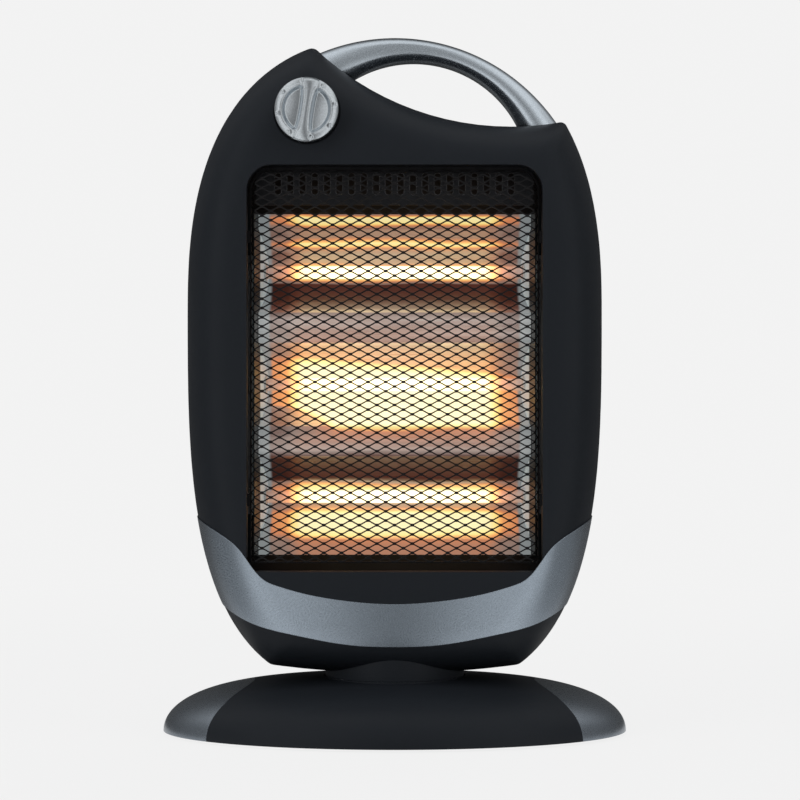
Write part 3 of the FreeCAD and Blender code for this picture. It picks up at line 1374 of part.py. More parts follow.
def lead(name, route):
    """A lead of straight runs joined by arcs as large as the runs allow."""
    radius = size("lead_radius")
    edges = []
    last = route[0]
    for before, here, after in zip(route, route[1:], route[2:]):
        back = (before - here)
        on = (after - here)
        turn = math.pi - back.getAngle(on)
        reach = BEND_SHARE * min(back.Length, on.Length)
        bow = reach / math.tan(turn / 2)
        back.normalize()
        on.normalize()
        start = here + back * reach
        finish = here + on * reach
        bisector = back + on
        bisector.normalize()
        middle = here + bisector * (bow / math.cos(turn / 2) - bow)
        edges.append(Part.LineSegment(last, start).toShape())
        edges.append(arc(start, middle, finish))
        last = finish
        print(name, "bend radius", round(bow, 1))
    edges.append(Part.LineSegment(last, route[-1]).toShape())
    path = Part.Wire(edges)
    first = route[1] - route[0]
    section = Part.Wire(Part.makeCircle(radius, route[0], first))
    tube = path.makePipeShell([section], True, False)
    print(name, "volume", round(tube.Volume), "expected", round(path.Length * math.pi * radius ** 2))
    return made(name, tube)


switch_rear = -(front_depth - size("knob_seat_thickness")) + size("switch_depth")
block_top = size("terminal_place_height") + size("terminal_height")
behind = size("shield_rear") + size("terminal_depth") / 2
drop = size("knob_height") - block_top
knob_side = -size("knob_x")
switch_route = [Vector(knob_side, switch_rear, size("knob_height")),
                Vector(knob_side, switch_rear + behind, size("knob_height")),
                Vector(knob_side, behind, block_top + drop * SWITCH_LEAD_SHARES[0] - size("lead_radius")),
                Vector(knob_side * SWITCH_LEAD_SHARES[1], behind, block_top + drop * SWITCH_LEAD_SHARES[1]),
                Vector(knob_side * SWITCH_LEAD_SHARES[2], behind, block_top + drop * SWITCH_LEAD_SHARES[2]),
                Vector(knob_side * SWITCH_LEAD_SHARES[2], behind, block_top)]
node(lead("switch_lead", switch_route), "switch_lead")
block_low = size("terminal_place_height")
neck_top = size("neck_tube_top")
neck_rise = block_low - neck_top
neck_route = [Vector(0, behind, block_low),
              Vector(0, behind, neck_top + neck_rise * NECK_LEAD_SHARES[0]),
              Vector(0, 0, neck_top + neck_rise * NECK_LEAD_SHARES[1]),
              Vector(0, 0, size("neck_tube_bottom"))]
node(lead("neck_lead", neck_route), "neck_lead")

doc.recompute()

faults = []
for item in doc.Objects:
    if "Invalid" in item.State or "Error" in item.State:
        faults.append("%s is %s" % (item.Name, item.State))
for item in NODES:
    if item.Shape.isNull() or not item.Shape.isValid() or not item.Shape.Solids:
        faults.append("%s has no valid shape" % item.Label)
if faults:
    raise SystemExit("; ".join(faults))

os.makedirs("parts", exist_ok=True)
for item in NODES:
    item.Shape.exportStep("parts/%s.step" % item.Label)
    bounds = item.Shape.BoundBox
    print("%-22s %3d solids %10.1f mm3  x %7.1f %7.1f  y %7.1f %7.1f  z %7.1f %7.1f" % (
        item.Label, len(item.Shape.Solids), item.Shape.Volume, bounds.XMin, bounds.XMax,
        bounds.YMin, bounds.YMax, bounds.ZMin, bounds.ZMax))
print(len(NODES), "sub-parts")
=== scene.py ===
# %% [markdown]
# # An infrared heater, dressed for its portrait
#
# The heater is already built as an exact CAD assembly: covers, grille, reflector, tubes, swing
# drive and base. This lesson loads that assembly, sets up the camera and a small photo studio,
# gives every part the finish of the real thing, and replaces the few parts whose fine detail is
# easier to draw here: the expanded-metal grille, the rounded handle, the carved knob and the
# wound filaments. Lengths are in metres unless a cell says otherwise, and the front of the heater
# looks along -Y.

# %% Load the heater
import json
import math

import bmesh
import bpy
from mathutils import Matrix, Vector


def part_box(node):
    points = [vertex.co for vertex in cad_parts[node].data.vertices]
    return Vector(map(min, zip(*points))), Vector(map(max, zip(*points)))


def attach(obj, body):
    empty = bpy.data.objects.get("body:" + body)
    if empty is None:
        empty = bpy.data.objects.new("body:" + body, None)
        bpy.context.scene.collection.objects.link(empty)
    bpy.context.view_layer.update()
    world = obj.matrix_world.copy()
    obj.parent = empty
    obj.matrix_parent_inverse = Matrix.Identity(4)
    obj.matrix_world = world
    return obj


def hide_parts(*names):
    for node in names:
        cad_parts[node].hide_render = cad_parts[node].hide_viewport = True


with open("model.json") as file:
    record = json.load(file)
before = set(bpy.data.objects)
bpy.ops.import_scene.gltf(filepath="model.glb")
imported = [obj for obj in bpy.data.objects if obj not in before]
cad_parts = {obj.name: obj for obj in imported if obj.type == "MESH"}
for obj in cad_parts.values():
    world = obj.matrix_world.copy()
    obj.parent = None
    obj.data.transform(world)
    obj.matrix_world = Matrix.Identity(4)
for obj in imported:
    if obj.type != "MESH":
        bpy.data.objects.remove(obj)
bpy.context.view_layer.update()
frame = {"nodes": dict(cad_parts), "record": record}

# %% [markdown]
# ## The camera
#
# A product photograph like this one is taken level with the middle of the object and from some
# way off, so that upright lines stay upright and the perspective is weak. A long lens two metres
# away does the same. The camera looks along +Y, which a turn of 90 degrees about X gives.

# %% Place the camera
CAMERA_PLACE = (0.0041, -2.0, 0.259)
LENS = 115.4


def placed(name, data):
    """A new object that is part of the scene."""
    item = bpy.data.objects.new(name, data)
    bpy.context.scene.collection.objects.link(item)
    return item


lens_data = bpy.data.cameras.new("portrait_camera")
lens_data.lens = LENS
lens_data.sensor_width = 36.0
camera = placed("portrait_camera", lens_data)
camera.location = CAMERA_PLACE
camera.rotation_euler = (math.radians(90), 0, 0)
bpy.context.scene.camera = camera
print("camera at", tuple(camera.location), "with a lens of", LENS, "mm")

# %% [markdown]
# ## A small set of helpers for materials
#
# Every finish below is a node material. A few helpers keep the cells short: one makes an empty
# material with a Principled surface, one fills in the sockets of a node, and one adds a new node.
# A socket takes either a plain value or a link from another node, and `feed` sees which it is.

# %% Nodes and their sockets
def fresh_material(name):
    """A new material with a Principled surface, and its node tree."""
    material = bpy.data.materials.new(name)
    material.use_nodes = True
    tree = material.node_tree
    tree.nodes.clear()
    output = tree.nodes.new("ShaderNodeOutputMaterial")
    surface = tree.nodes.new("ShaderNodeBsdfPrincipled")
    tree.links.new(surface.outputs["BSDF"], output.inputs["Surface"])
    return material, tree, surface


def feed(tree, socket, value):
    """Link a value that is itself a socket, and set any other."""
    if isinstance(value, bpy.types.NodeSocket):
        tree.links.new(value, socket)
    else:
        socket.default_value = value


def fill_in(tree, node, **sockets):
    """Fill in a node's sockets by name, with _ for each space."""
    for key, value in sockets.items():
        feed(tree, node.inputs[key.replace("_", " ")], value)


def add(tree, kind, settings=None, **sockets):
    """A new node with its settings and its sockets."""
    new = tree.nodes.new("ShaderNode" + kind)
    for key, value in (settings or {}).items():
        setattr(new, key, value)
    fill_in(tree, new, **sockets)
    return new


print("node helpers ready")

# %% [markdown]
# Colours and textures need a few more. Textures are measured in object coordinates, in metres, so
# a grain of 0.5 mm has that size on every part, and it moves with the part. A noise can be drawn
# out along one axis: where its scale on that axis is below 1, its spots become lines.

# %% Colours and textures
def grey(level):
    """A neutral colour."""
    return (level, level, level)


def shaded(colour, share):
    """A colour made darker or lighter."""
    return tuple(min(1.0, part * share) for part in colour)


def ramp(tree, source, *stops):
    """A colour ramp from pairs of place and colour."""
    new = tree.nodes.new("ShaderNodeValToRGB")
    steps = new.color_ramp.elements
    while len(steps) < len(stops):
        steps.new(0.5)
    for step, (place, colour) in zip(steps, stops):
        step.position = place
        step.color = (*colour, 1.0)
    tree.links.new(source, new.inputs["Fac"])
    return new.outputs["Color"]


def uneven(tree, source, middle, below, above, low=0.3, high=0.7):
    """A level that follows a texture from a little below its middle to a little above."""
    return ramp(tree, source, (low, grey(middle - below)), (high, grey(middle + above)))


def object_space(tree):
    """Coordinates in metres that stay on the part."""
    return add(tree, "TexCoord").outputs["Object"]


def noise(tree, scale, detail, drawn_out=None, **sockets):
    """A noise on the part, drawn out along an axis where that is wished."""
    place = object_space(tree)
    if drawn_out:
        place = add(tree, "Mapping", Vector=place, Scale=drawn_out).outputs["Vector"]
    return add(tree, "TexNoise", Vector=place, Scale=scale, Detail=detail, **sockets).outputs["Fac"]


print("texture helpers ready")

# %% [markdown]
# Some finishes also need a little arithmetic, such as "how far from the middle is this point". A
# Math node does one sum, so each sum gets a short name here, and the materials read almost like
# written formulas. The last helper is a smooth change between two limits.

# %% Small sums in a node tree
def reckon(tree, operation, *values):
    """A Math node's result from sockets or numbers."""
    new = add(tree, "Math", {"operation": operation})
    for socket, value in zip(new.inputs, values):
        feed(tree, socket, value)
    return new.outputs[0]


def plus(tree, first, second):
    return reckon(tree, "ADD", first, second)


def minus(tree, first, second):
    return reckon(tree, "SUBTRACT", first, second)


def times(tree, first, second):
    return reckon(tree, "MULTIPLY", first, second)


def eased(tree, source, low, high, start=0.0, finish=1.0):
    """A smooth change from one value to another while a socket runs between two limits."""
    new = add(tree, "MapRange", {"interpolation_type": "SMOOTHSTEP"}, Value=source,
              From_Min=low, From_Max=high, To_Min=start, To_Max=finish)
    return new.outputs["Result"]


print("sums ready")

# %% [markdown]
# ## Soft edges
#
# No moulded or pressed edge is perfectly sharp: each one catches a thin line of light. Cutting
# bevels into every CAD mesh would be slow and fragile. Cycles can round the shading instead: the
# Bevel node gives a normal that looks around the edge within a small radius. The grain of the
# surface is added on top of it with a Bump node.

# %% Rounded edges and bumps
MOULDED_EDGE = 0.0006
PAINTED_EDGE = 0.0008
SHEET_EDGE = 0.0003


def rounded_edge(tree, radius):
    """A normal that turns smoothly around every edge."""
    return add(tree, "Bevel", {"samples": 4}, Radius=radius).outputs["Normal"]


def bumped(tree, height, depth, strength, **normal):
    """A normal that a height bends, on top of another one if it is given."""
    bump = add(tree, "Bump", Strength=strength, Distance=depth, Height=height, **normal)
    return bump.outputs["Normal"]


print("edges rounded by", MOULDED_EDGE * 1000, "mm on plastic,", SHEET_EDGE * 1000, "mm on sheet")

# %% [markdown]
# ## Black moulded plastic
#
# The covers and the base are black moulded plastic with a satin surface. It isn't pure black: the
# grain scatters a little light. A low specular level keeps the large front quiet, as it is on the
# real one, and a slow noise changes the roughness a little from place to place, because no
# moulding is perfectly even.

# %% Black plastic
GRAIN_DEPTH = 0.00006


def moulded_plastic(name, colour, roughness, specular, grain=0.0006):
    """Plastic with a fine grain, whose gloss is a little uneven."""
    material, tree, surface = fresh_material(name)
    fine = noise(tree, 1 / grain, 3.0, Roughness=0.6)
    slow = noise(tree, 18.0, 2.0)
    edge = rounded_edge(tree, MOULDED_EDGE)
    fill_in(tree, surface, Specular_IOR_Level=specular,
            Base_Color=ramp(tree, fine, (0.3, shaded(colour, 0.82)), (0.7, colour)),
            Roughness=uneven(tree, slow, roughness, 0.04, 0.04),
            Normal=bumped(tree, fine, GRAIN_DEPTH, 0.35, Normal=edge))
    return material


black_plastic = moulded_plastic("satin_black_plastic", (0.0104, 0.0124, 0.0156), 0.5, 0.15)
dark_plastic = moulded_plastic("dark_inner_plastic", (0.03, 0.03, 0.032), 0.55, 0.3)
white_plastic = moulded_plastic("natural_white_plastic", (0.72, 0.71, 0.67), 0.5, 0.4)
rubber = moulded_plastic("foot_rubber_finish", (0.018, 0.018, 0.018), 0.85, 0.2)
print("plastics:", black_plastic.name, dark_plastic.name, white_plastic.name, rubber.name)

# %% [markdown]
# ## Silver paint
#
# The band, the handle, the base caps and the knob are plastic too, painted silver. Such paint is
# full of aluminium flakes that lie nearly flat. A Voronoi texture stands for the flakes: each
# cell is one flake, with its own shade and its own slight tilt. The layer beneath is metallic
# with a broad highlight, and a thin clear coat sits on it. The real band is also a little crowned
# from side to side, which the CAD leaves flat. A second bump with the height of a large circle
# bends the shading by that much, and the band gets its darker middle and lighter wings.

# %% Silver paint
FLAKE_SIZE = 0.00035
FLAKE_DEPTH = 0.00003
COAT_ROUGHNESS = 0.12
BAND_CROWN = 0.5


def flake_paint(name, colour, roughness, metallic, coat, crown=None):
    """Metallic paint; a crown is the radius of the slow bend from side to side."""
    material, tree, surface = fresh_material(name)
    place = object_space(tree)
    flakes = add(tree, "TexVoronoi", Vector=place, Scale=1 / FLAKE_SIZE)
    split = add(tree, "SeparateColor", Color=flakes.outputs["Color"]).outputs
    low, high = shaded(colour, 0.86), shaded(colour, 1.12)
    normal = rounded_edge(tree, PAINTED_EDGE)
    if crown:
        across = add(tree, "SeparateXYZ", Vector=place).outputs["X"]
        sag = times(tree, times(tree, across, across), -0.5 / crown)
        normal = bumped(tree, sag, 1.0, 1.0, Normal=normal)
    fill_in(tree, surface, Metallic=metallic, Coat_Weight=coat, Coat_Roughness=COAT_ROUGHNESS,
            Base_Color=ramp(tree, split["Red"], (0.1, low), (0.9, high)),
            Roughness=uneven(tree, split["Green"], roughness, 0.05, 0.06, 0.0, 1.0),
            Normal=bumped(tree, split["Blue"], FLAKE_DEPTH, 0.12, Normal=normal))
    return material


silver_paint = flake_paint("silver_flake_paint", (0.315, 0.365, 0.42), 0.26, 0.97, 0.03, BAND_CROWN)
# The handle takes the band's silver paint made about twice as light: painted light on the handle.
silver_paint_lit_for_handle = flake_paint("silver_paint_lit_copy", (0.6, 0.665, 0.725), 0.24, 0.97, 0.05)
grey_paint = flake_paint("dark_silver_paint", (0.22, 0.25, 0.285), 0.3, 0.95, 0.05)
knob_paint = flake_paint("bright_silver_paint", (0.55, 0.59, 0.62), 0.15, 0.98, 0.05)
print("paints:", silver_paint.name, silver_paint_lit_for_handle.name, grey_paint.name, knob_paint.name)

# %% [markdown]
# ## Sheet metals
#
# The inner sheets are steel, plain or painted black, and the screws are zinc-coated. Rolled sheet
# has fine lines in one direction: a noise stretched along X gives them. The same recipe with
# other values makes the painted sheet, the screws, the springs and the cast ballast.

# %% Rolled, painted and cast metal
def sheet_metal(name, colour, roughness, metallic, streak=6.0, grain=0.0005, depth=0.00004,
                specular=0.25):
    """Metal with a grain; a streak above 1 draws the grain out into rolling lines."""
    material, tree, surface = fresh_material(name)
    lines = noise(tree, 1 / grain, 4.0, (1 / streak, 1.0, 1.0))
    stains = noise(tree, 30.0, 3.0)
    edge = rounded_edge(tree, SHEET_EDGE)
    fill_in(tree, surface, Metallic=metallic, Specular_IOR_Level=specular,
            Base_Color=ramp(tree, stains, (0.3, shaded(colour, 0.75)), (0.65, colour)),
            Roughness=uneven(tree, lines, roughness, 0.06, 0.08),
            Normal=bumped(tree, lines, depth, 0.3, Normal=edge))
    return material


zinc_sheet = sheet_metal("zinc_coated_sheet", (0.5, 0.5, 0.51), 0.35, 1.0)
black_sheet = sheet_metal("black_painted_sheet", (0.022, 0.022, 0.024), 0.6, 0.0, specular=0.15)
mesh_paint = sheet_metal("heat_proof_black", (0.012, 0.0115, 0.012), 0.6, 0.0, 1.0, 0.0008,
                         specular=0.08)
screw_zinc = sheet_metal("zinc_screws", (0.35, 0.35, 0.36), 0.3, 1.0, 1.0)
spring_wire = sheet_metal("bright_spring_wire", (0.55, 0.55, 0.56), 0.25, 1.0, 1.0)
cast_iron = sheet_metal("rough_cast_iron", (0.11, 0.11, 0.11), 0.7, 0.6, 1.0, 0.002, 0.0003)
print("metals:", zinc_sheet.name, black_sheet.name, mesh_paint.name, cast_iron.name)

# %% [markdown]
# ## The polished reflector
#
# Behind the tubes is a polished aluminium sheet with three troughs. It mirrors the hot wires,
# which turns three thin lines into broad bands of light. Tracing those mirrored wires needs
# thousands of samples, so the bands are painted on the sheet as an emission of its own, a painted
# reflection: a level from 0 to 1 by height on the sheet, which fades towards the ends of the wires.
# A colour ramp then turns that level into the colour of light, from dull red through orange to
# yellow-white.
#
# Each trough has its own bands. The middle one is seen straight on, so its whole depth is
# filled with light. The camera looks up into the upper trough and down into the lower one, which
# splits the light there into a band at the tube, a second one beyond it, and a dark strip where
# the sheet mirrors the inside of the black cover. Heights are in millimetres above the floor.

# %% Bands of painted reflection and of painted shade
SHEET_LOW, SHEET_HIGH = 138.0, 404.0
UPPER_BANDS = ((326, 0.17), (333, 0.1), (337, 0.06), (349, 0.06), (352, 0.6), (355, 0.87),
               (362, 0.8), (366, 0.26), (373, 0.18), (377, 0.42), (380, 0.9), (383, 0.5),
               (386, 0.24), (392, 0.3), (395, 0.8), (399, 0.93), (401, 0.5), (403, 0.06))
MIDDLE_BANDS = ((220, 0.2), (228, 0.33), (235, 0.42), (238, 0.76), (242, 1.0), (286, 1.0),
                (291, 0.76), (294, 0.43), (302, 0.37), (311, 0.28), (318, 0.2), (326, 0.17))
LOWER_BANDS = ((139, 0.34), (147, 0.37), (152, 0.44), (155, 0.8), (159, 0.97), (170, 0.97),
               (174, 0.46), (177, 0.25), (180, 0.36), (183, 0.83), (189, 0.87), (193, 0.5),
               (196, 0.06), (214, 0.05), (220, 0.17))
# Painted shade and painted reflection: the bare metal's colour by height, black in the dark strips
# where the sheet mirrors the black cover, light at the edges of the middle trough.
PAINTED_SHADE_AND_REFLECTION = ((139, 0.14), (195, 0.12), (198, 0.0), (215, 0.0), (220, 0.7), (228, 0.6), (236, 0.3),
           (300, 0.2), (309, 0.75), (321, 0.9), (326, 0.3), (330, 0.05), (336, 0.0), (350, 0.0),
           (353, 0.06), (366, 0.16), (372, 0.16), (380, 0.06), (403, 0.02))


def by_height(tree, height, bands):
    """A grey value that follows a list of heights and levels."""
    span = SHEET_HIGH - SHEET_LOW
    share = reckon(tree, "DIVIDE", minus(tree, height, SHEET_LOW), span)
    return ramp(tree, share, *[((level - SHEET_LOW) / span, grey(value)) for level, value in bands])


print("bands:", len(UPPER_BANDS) + len(MIDDLE_BANDS) + len(LOWER_BANDS))

# %% [markdown]
# The sheet isn't perfectly straight. A slow noise moves the bands up and down by about a
# millimetre. The bright field of the middle trough is twisted too: its upper edge is lower at
# the right-hand end, and its lower edge rises at the left. Both are written as a height that is
# moved before the bands are looked up.

# %% The twisted field and the painted reflection of the sheet
SWAY = 5.0
FIELD_LEFT, TWIST = -79.0, 0.08
CUT_START, CUT_SLOPE = -46.0, -0.55
MIDDLE_TROUGH = (220.0, 326.0)
SHEET_HALF = 100.0
END_FADE = ((0.0, 1.0), (0.73, 1.0), (0.8, 0.76), (0.85, 0.53), (1.0, 0.45))


def twisted(tree, x, z):
    """The height at which a point of the middle trough finds its band."""
    upper_edge = times(tree, eased(tree, z, 262.0, 282.0), eased(tree, z, 300.0, 312.0, 1.0, 0.0))
    lower_edge = times(tree, eased(tree, z, 262.0, 250.0), eased(tree, z, 226.0, 236.0))
    lean = times(tree, minus(tree, x, FIELD_LEFT), TWIST)
    cut = reckon(tree, "MAXIMUM", times(tree, minus(tree, x, CUT_START), CUT_SLOPE), 0.0)
    lifted = plus(tree, z, times(tree, lean, upper_edge))
    return minus(tree, lifted, times(tree, cut, lower_edge))


def painted_reflection_level(tree, x, z):
    """Painted reflection from 0 to 1, less towards the ends of the wires."""
    above = reckon(tree, "GREATER_THAN", z, MIDDLE_TROUGH[1])
    below = reckon(tree, "LESS_THAN", z, MIDDLE_TROUGH[0])
    between = minus(tree, minus(tree, 1.0, above), below)
    upper = times(tree, by_height(tree, z, UPPER_BANDS), above)
    middle = times(tree, by_height(tree, twisted(tree, x, z), MIDDLE_BANDS), between)
    lower = times(tree, by_height(tree, z, LOWER_BANDS), below)
    away = reckon(tree, "DIVIDE", reckon(tree, "ABSOLUTE", x), SHEET_HALF)
    ends = ramp(tree, away, *((place, grey(level)) for place, level in END_FADE))
    return times(tree, plus(tree, upper, plus(tree, middle, lower)), ends)


print("middle trough from", MIDDLE_TROUGH[0], "to", MIDDLE_TROUGH[1], "mm")

# %% [markdown]
# Now that level becomes painted light. The folded rim at both ends of the sheet lies beyond the
# wires and gets an even grey painted light, and so do the two side plates, up to their black edge.
# The colour of the bare metal changes with height too, black in the dark strips and light at the
# edges of the
# middle trough: painted shade and painted reflection.

# %% The reflector with its painted reflection, and its side plates with painted light
# Colours and strength of the painted reflection of the wires.
PAINTED_REFLECTION_COLOURS = ((0.0, (0.0, 0.0, 0.0)), (0.06, (0.085, 0.026, 0.018)), (0.17, (0.24, 0.16, 0.13)),
                (0.3, (0.33, 0.17, 0.115)), (0.45, (0.63, 0.22, 0.09)), (0.6, (0.92, 0.43, 0.13)),
                (0.78, (0.98, 0.76, 0.26)), (1.0, (0.9, 0.84, 0.52)))
PAINTED_REFLECTION_STRENGTH = 0.92
RIM_FADE = (95.0, 97.5)
# RIM_LIGHT and SIDE_LIGHT are painted light: even grey emissions on the reflector's folded rim and
# on the side plates.
RIM_LIGHT = (0.2, 0.22, 0.225, 1.0)
SIDE_LIGHT = (0.11, 0.15, 0.16)
PLATE_EDGE = (0.1036, 0.1044)
EDGE_BLACK = (0.01, 0.01, 0.01, 1.0)
MIX_COLOURS = {"data_type": "RGBA"}


def sheet_with_painted_reflection(name, roughness):
    """Polished sheet with the wires' reflection painted on as an emission, and painted shade by
    height in its colour.
    """
    material, tree, surface = fresh_material(name)
    place = add(tree, "SeparateXYZ", Vector=object_space(tree)).outputs
    x = times(tree, place["X"], 1000.0)
    sway = times(tree, minus(tree, noise(tree, 45.0, 2.0, (0.35, 1.0, 1.0)), 0.5), SWAY)
    z = plus(tree, times(tree, place["Z"], 1000.0), sway)
    # The emission is the painted reflection of the wires, with an even grey painted light on the
    # rim beyond them.
    light = add(tree, "Mix", MIX_COLOURS, A=ramp(tree, painted_reflection_level(tree, x, z), *PAINTED_REFLECTION_COLOURS),
                B=RIM_LIGHT, Factor=eased(tree, reckon(tree, "ABSOLUTE", x), *RIM_FADE))
    waves = noise(tree, 190.0, 4.0, (0.06, 1.0, 1.0))
    streaks = ramp(tree, waves, (0.35, (0.72, 0.68, 0.64)), (0.62, (1.0, 0.97, 0.93)))
    # Painted shade: the metal's colour by height, with the rolling lines on top.
    tone = add(tree, "Mix", {**MIX_COLOURS, "blend_type": "MULTIPLY"}, Factor=1.0,
               A=by_height(tree, z, PAINTED_SHADE_AND_REFLECTION), B=streaks)
    fill_in(tree, surface, Metallic=1.0, Base_Color=tone.outputs["Result"],
            Emission_Color=light.outputs["Result"], Emission_Strength=PAINTED_REFLECTION_STRENGTH,
            Roughness=uneven(tree, waves, roughness, 0.05, 0.08),
            Normal=bumped(tree, waves, 0.0002, 0.4))
    return material


def sheet_with_painted_light(name, colour, roughness):
    """Aluminium with fine rolling lines, an even grey painted light as emission, and a black outer
    edge.
    """
    material, tree, surface = fresh_material(name)
    lines = noise(tree, 900.0, 3.0, (1.0, 1.0, 0.1))
    across = add(tree, "SeparateXYZ", Vector=object_space(tree)).outputs["X"]
    edge = eased(tree, reckon(tree, "ABSOLUTE", across), *PLATE_EDGE)
    bare = ramp(tree, lines, (0.35, shaded(colour, 0.85)), (0.65, colour))
    coat = add(tree, "Mix", MIX_COLOURS, Factor=edge, A=bare, B=EDGE_BLACK)
    # Painted light: an even grey emission, switched off on the black edge.
    fill_in(tree, surface, Metallic=0.2, Base_Color=coat.outputs["Result"], Emission_Strength=1.0,
            Emission_Color=ramp(tree, edge, (0.0, SIDE_LIGHT), (1.0, (0.0, 0.0, 0.0))),
            Roughness=uneven(tree, lines, roughness, 0.05, 0.05))
    return material


reflector_painted_light = sheet_with_painted_reflection("reflector_painted_reflection", 0.3)
side_plate_with_painted_light = sheet_with_painted_light("side_plate_painted_light", (0.6, 0.62, 0.64), 0.4)
print("reflector:", reflector_painted_light.name, side_plate_with_painted_light.name)

# %% [markdown]
# ## Quartz and ceramic
#
# A halogen tube is thin clear quartz. A true refracting glass would hide the wire's light from
# the reflector in a short render, so the tube is a mostly see-through surface with a gloss. The
# ends sit in unglazed ceramic, which is white, dull and slightly speckled.

# %% Quartz and ceramic
FILAMENT_HALF = 0.079
WIRE_REACH = 1.25


def along_wire(tree, *stops):
    """A colour that follows the distance from the middle of the wire, as a share of its half."""
    across = add(tree, "SeparateXYZ", Vector=object_space(tree)).outputs["X"]
    share = reckon(tree, "DIVIDE", reckon(tree, "ABSOLUTE", across), FILAMENT_HALF * WIRE_REACH)
    return ramp(tree, share, *[(place / WIRE_REACH, colour) for place, colour in stops])


def quartz_tube(name, alpha, glow):
    """A clear wall with a painted glow in the colour of the wire in it."""
    material, tree, surface = fresh_material(name)
    clouds = noise(tree, 60.0, 2.0)
    light = along_wire(tree, (0.0, (1.0, 0.93, 0.6)), (0.9, (1.0, 0.85, 0.4)),
                       (0.97, (0.9, 0.4, 0.1)), (1.05, (0.25, 0.07, 0.02)),
                       (1.2, (0.05, 0.015, 0.005)))
    # The emission is painted light: the wire's light seen in the quartz, yellow-white at the
    # middle, dark beyond the wire.
    fill_in(tree, surface, Emission_Color=light, Emission_Strength=glow, Roughness=0.06,
            Base_Color=ramp(tree, clouds, (0.3, (0.95, 0.93, 0.9)), (0.7, (1.0, 0.98, 0.95))),
            Alpha=alpha)
    return material


quartz = quartz_tube("clear_quartz", 0.4, 1.5)
ceramic = moulded_plastic("unglazed_ceramic", (0.8, 0.78, 0.74), 0.75, 0.3, 0.0009)
print("tube materials:", quartz.name, ceramic.name)

# %% [markdown]
# ## Woven sleeve
#
# The leads near the hot sheet wear a sleeve of woven glass yarn. Its weave is two sets of fine
# threads that cross, and two wave textures at opposite slants, multiplied, draw them. The same
# product serves as the height of a bump, so each crossing stands up a little.

# %% Woven glass sleeve
def woven(name, colour, thread):
    """Yarn of a thread's width, woven at a slant."""
    material, tree, surface = fresh_material(name)
    place = object_space(tree)
    waves = []
    for slant in (0.8, -0.8):
        turned = add(tree, "Mapping", Vector=place, Rotation=(slant, slant, slant))
        wave = add(tree, "TexWave", Vector=turned.outputs["Vector"], Scale=0.05 / thread)
        waves.append(wave.outputs["Fac"])
    crossing = times(tree, *waves)
    fill_in(tree, surface, Roughness=0.8, Specular_IOR_Level=0.2,
            Base_Color=ramp(tree, crossing, (0.0, shaded(colour, 0.6)), (0.6, colour)),
            Normal=bumped(tree, crossing, thread / 4, 0.5))
    return material


woven_sleeve = woven("woven_glass_sleeve", (0.66, 0.63, 0.55), 0.0006)
print("sleeve:", woven_sleeve.name)

# %% [markdown]
# ## The glowing wire
#
# Tungsten at about 2400 K is yellow-white at the middle of each coil and cooler, more orange,
# near its ends, where the clamps carry heat away. So its colour follows the distance from the
# middle.

# %% Glowing tungsten
def glowing_wire(name, strength):
    """Hot wire that is brightest at its middle."""
    material, tree, surface = fresh_material(name)
    light = along_wire(tree, (0.0, (1.0, 0.62, 0.26)), (0.75, (1.0, 0.55, 0.2)),
                       (1.0, (1.0, 0.25, 0.04)), (1.1, (0.15, 0.02, 0.0)))
    fill_in(tree, surface, Emission_Color=light, Emission_Strength=strength, Metallic=1.0,
            Base_Color=(0.3, 0.28, 0.26, 1.0), Roughness=0.4)
    return material


hot_wire = glowing_wire("hot_tungsten", 2.2)
print("filament:", hot_wire.name)

# %% [markdown]
# ## Dressing the CAD parts
#
# The record that came with the CAD names a finish slot for each part. Each slot gets one of the
# materials above, and each part of the frame takes the material of its slot. Three sheets get
# another finish than the rest of their slot.

# %% Give each part its finish
FINISHES = {
    "black_plastic": black_plastic,
    "silver_paint": silver_paint,
    "grey_paint": grey_paint,
    "silver_knob": knob_paint,
    "black_metal": mesh_paint,
    "dark_sheet": black_sheet,
    "sheet_steel": zinc_sheet,
    "screw_steel": screw_zinc,
    "polished_aluminium": reflector_painted_light,
    "quartz_glass": quartz,
    "filament_wire": hot_wire,
    "white_ceramic": ceramic,
    "dark_plastic": dark_plastic,
    "white_plastic": white_plastic,
    "lead_sleeve": woven_sleeve,
    "foot_rubber": rubber,
    "ballast_iron": cast_iron,
    "spring_steel": spring_wire,
}
NAMED_FINISHES = {"reflector_side_left": side_plate_with_painted_light, "reflector_side_right": side_plate_with_painted_light,
                  "heat_shield": black_sheet}

slot_of = {sub["node"]: sub["material_slot"] for sub in frame["record"]["subparts"]}
for name, part in frame["nodes"].items():
    finish = NAMED_FINISHES.get(name, FINISHES.get(slot_of.get(name), black_plastic))
    part.data.materials.clear()
    part.data.materials.append(finish)
print("finishes given:", len(slot_of), "of", len(frame["nodes"]))

# %% [markdown]
# ## The grille
#
# Expanded metal starts as plain sheet. A toothed blade slits it row by row and pulls each row
# open, which leaves strands that zigzag between bonds where two rows meet. So the mesh here is
# made of those zigzag strands, not of crossed wires: every strand is one bent flat ribbon, each
# bond is the place where two ribbons touch, and the strand is about as deep as it is wide. The
# sheet is folded back at both sides and along the top, where it goes into its frame.

# %% Sizes of the expanded metal
CELL_WIDTH = 0.0134
CELL_HEIGHT = 0.0070
STRAND_WIDTH = 0.00115
STRAND_DEPTH = 0.0011
STRAND_TWIST = 0.00025
BOND_HALF = 0.0011
BOND_LEAN = 0.9
CORNER_ROUND = 0.017
SIDE_ROOM = 0.0008
FOOT_ROOM = 0.0012

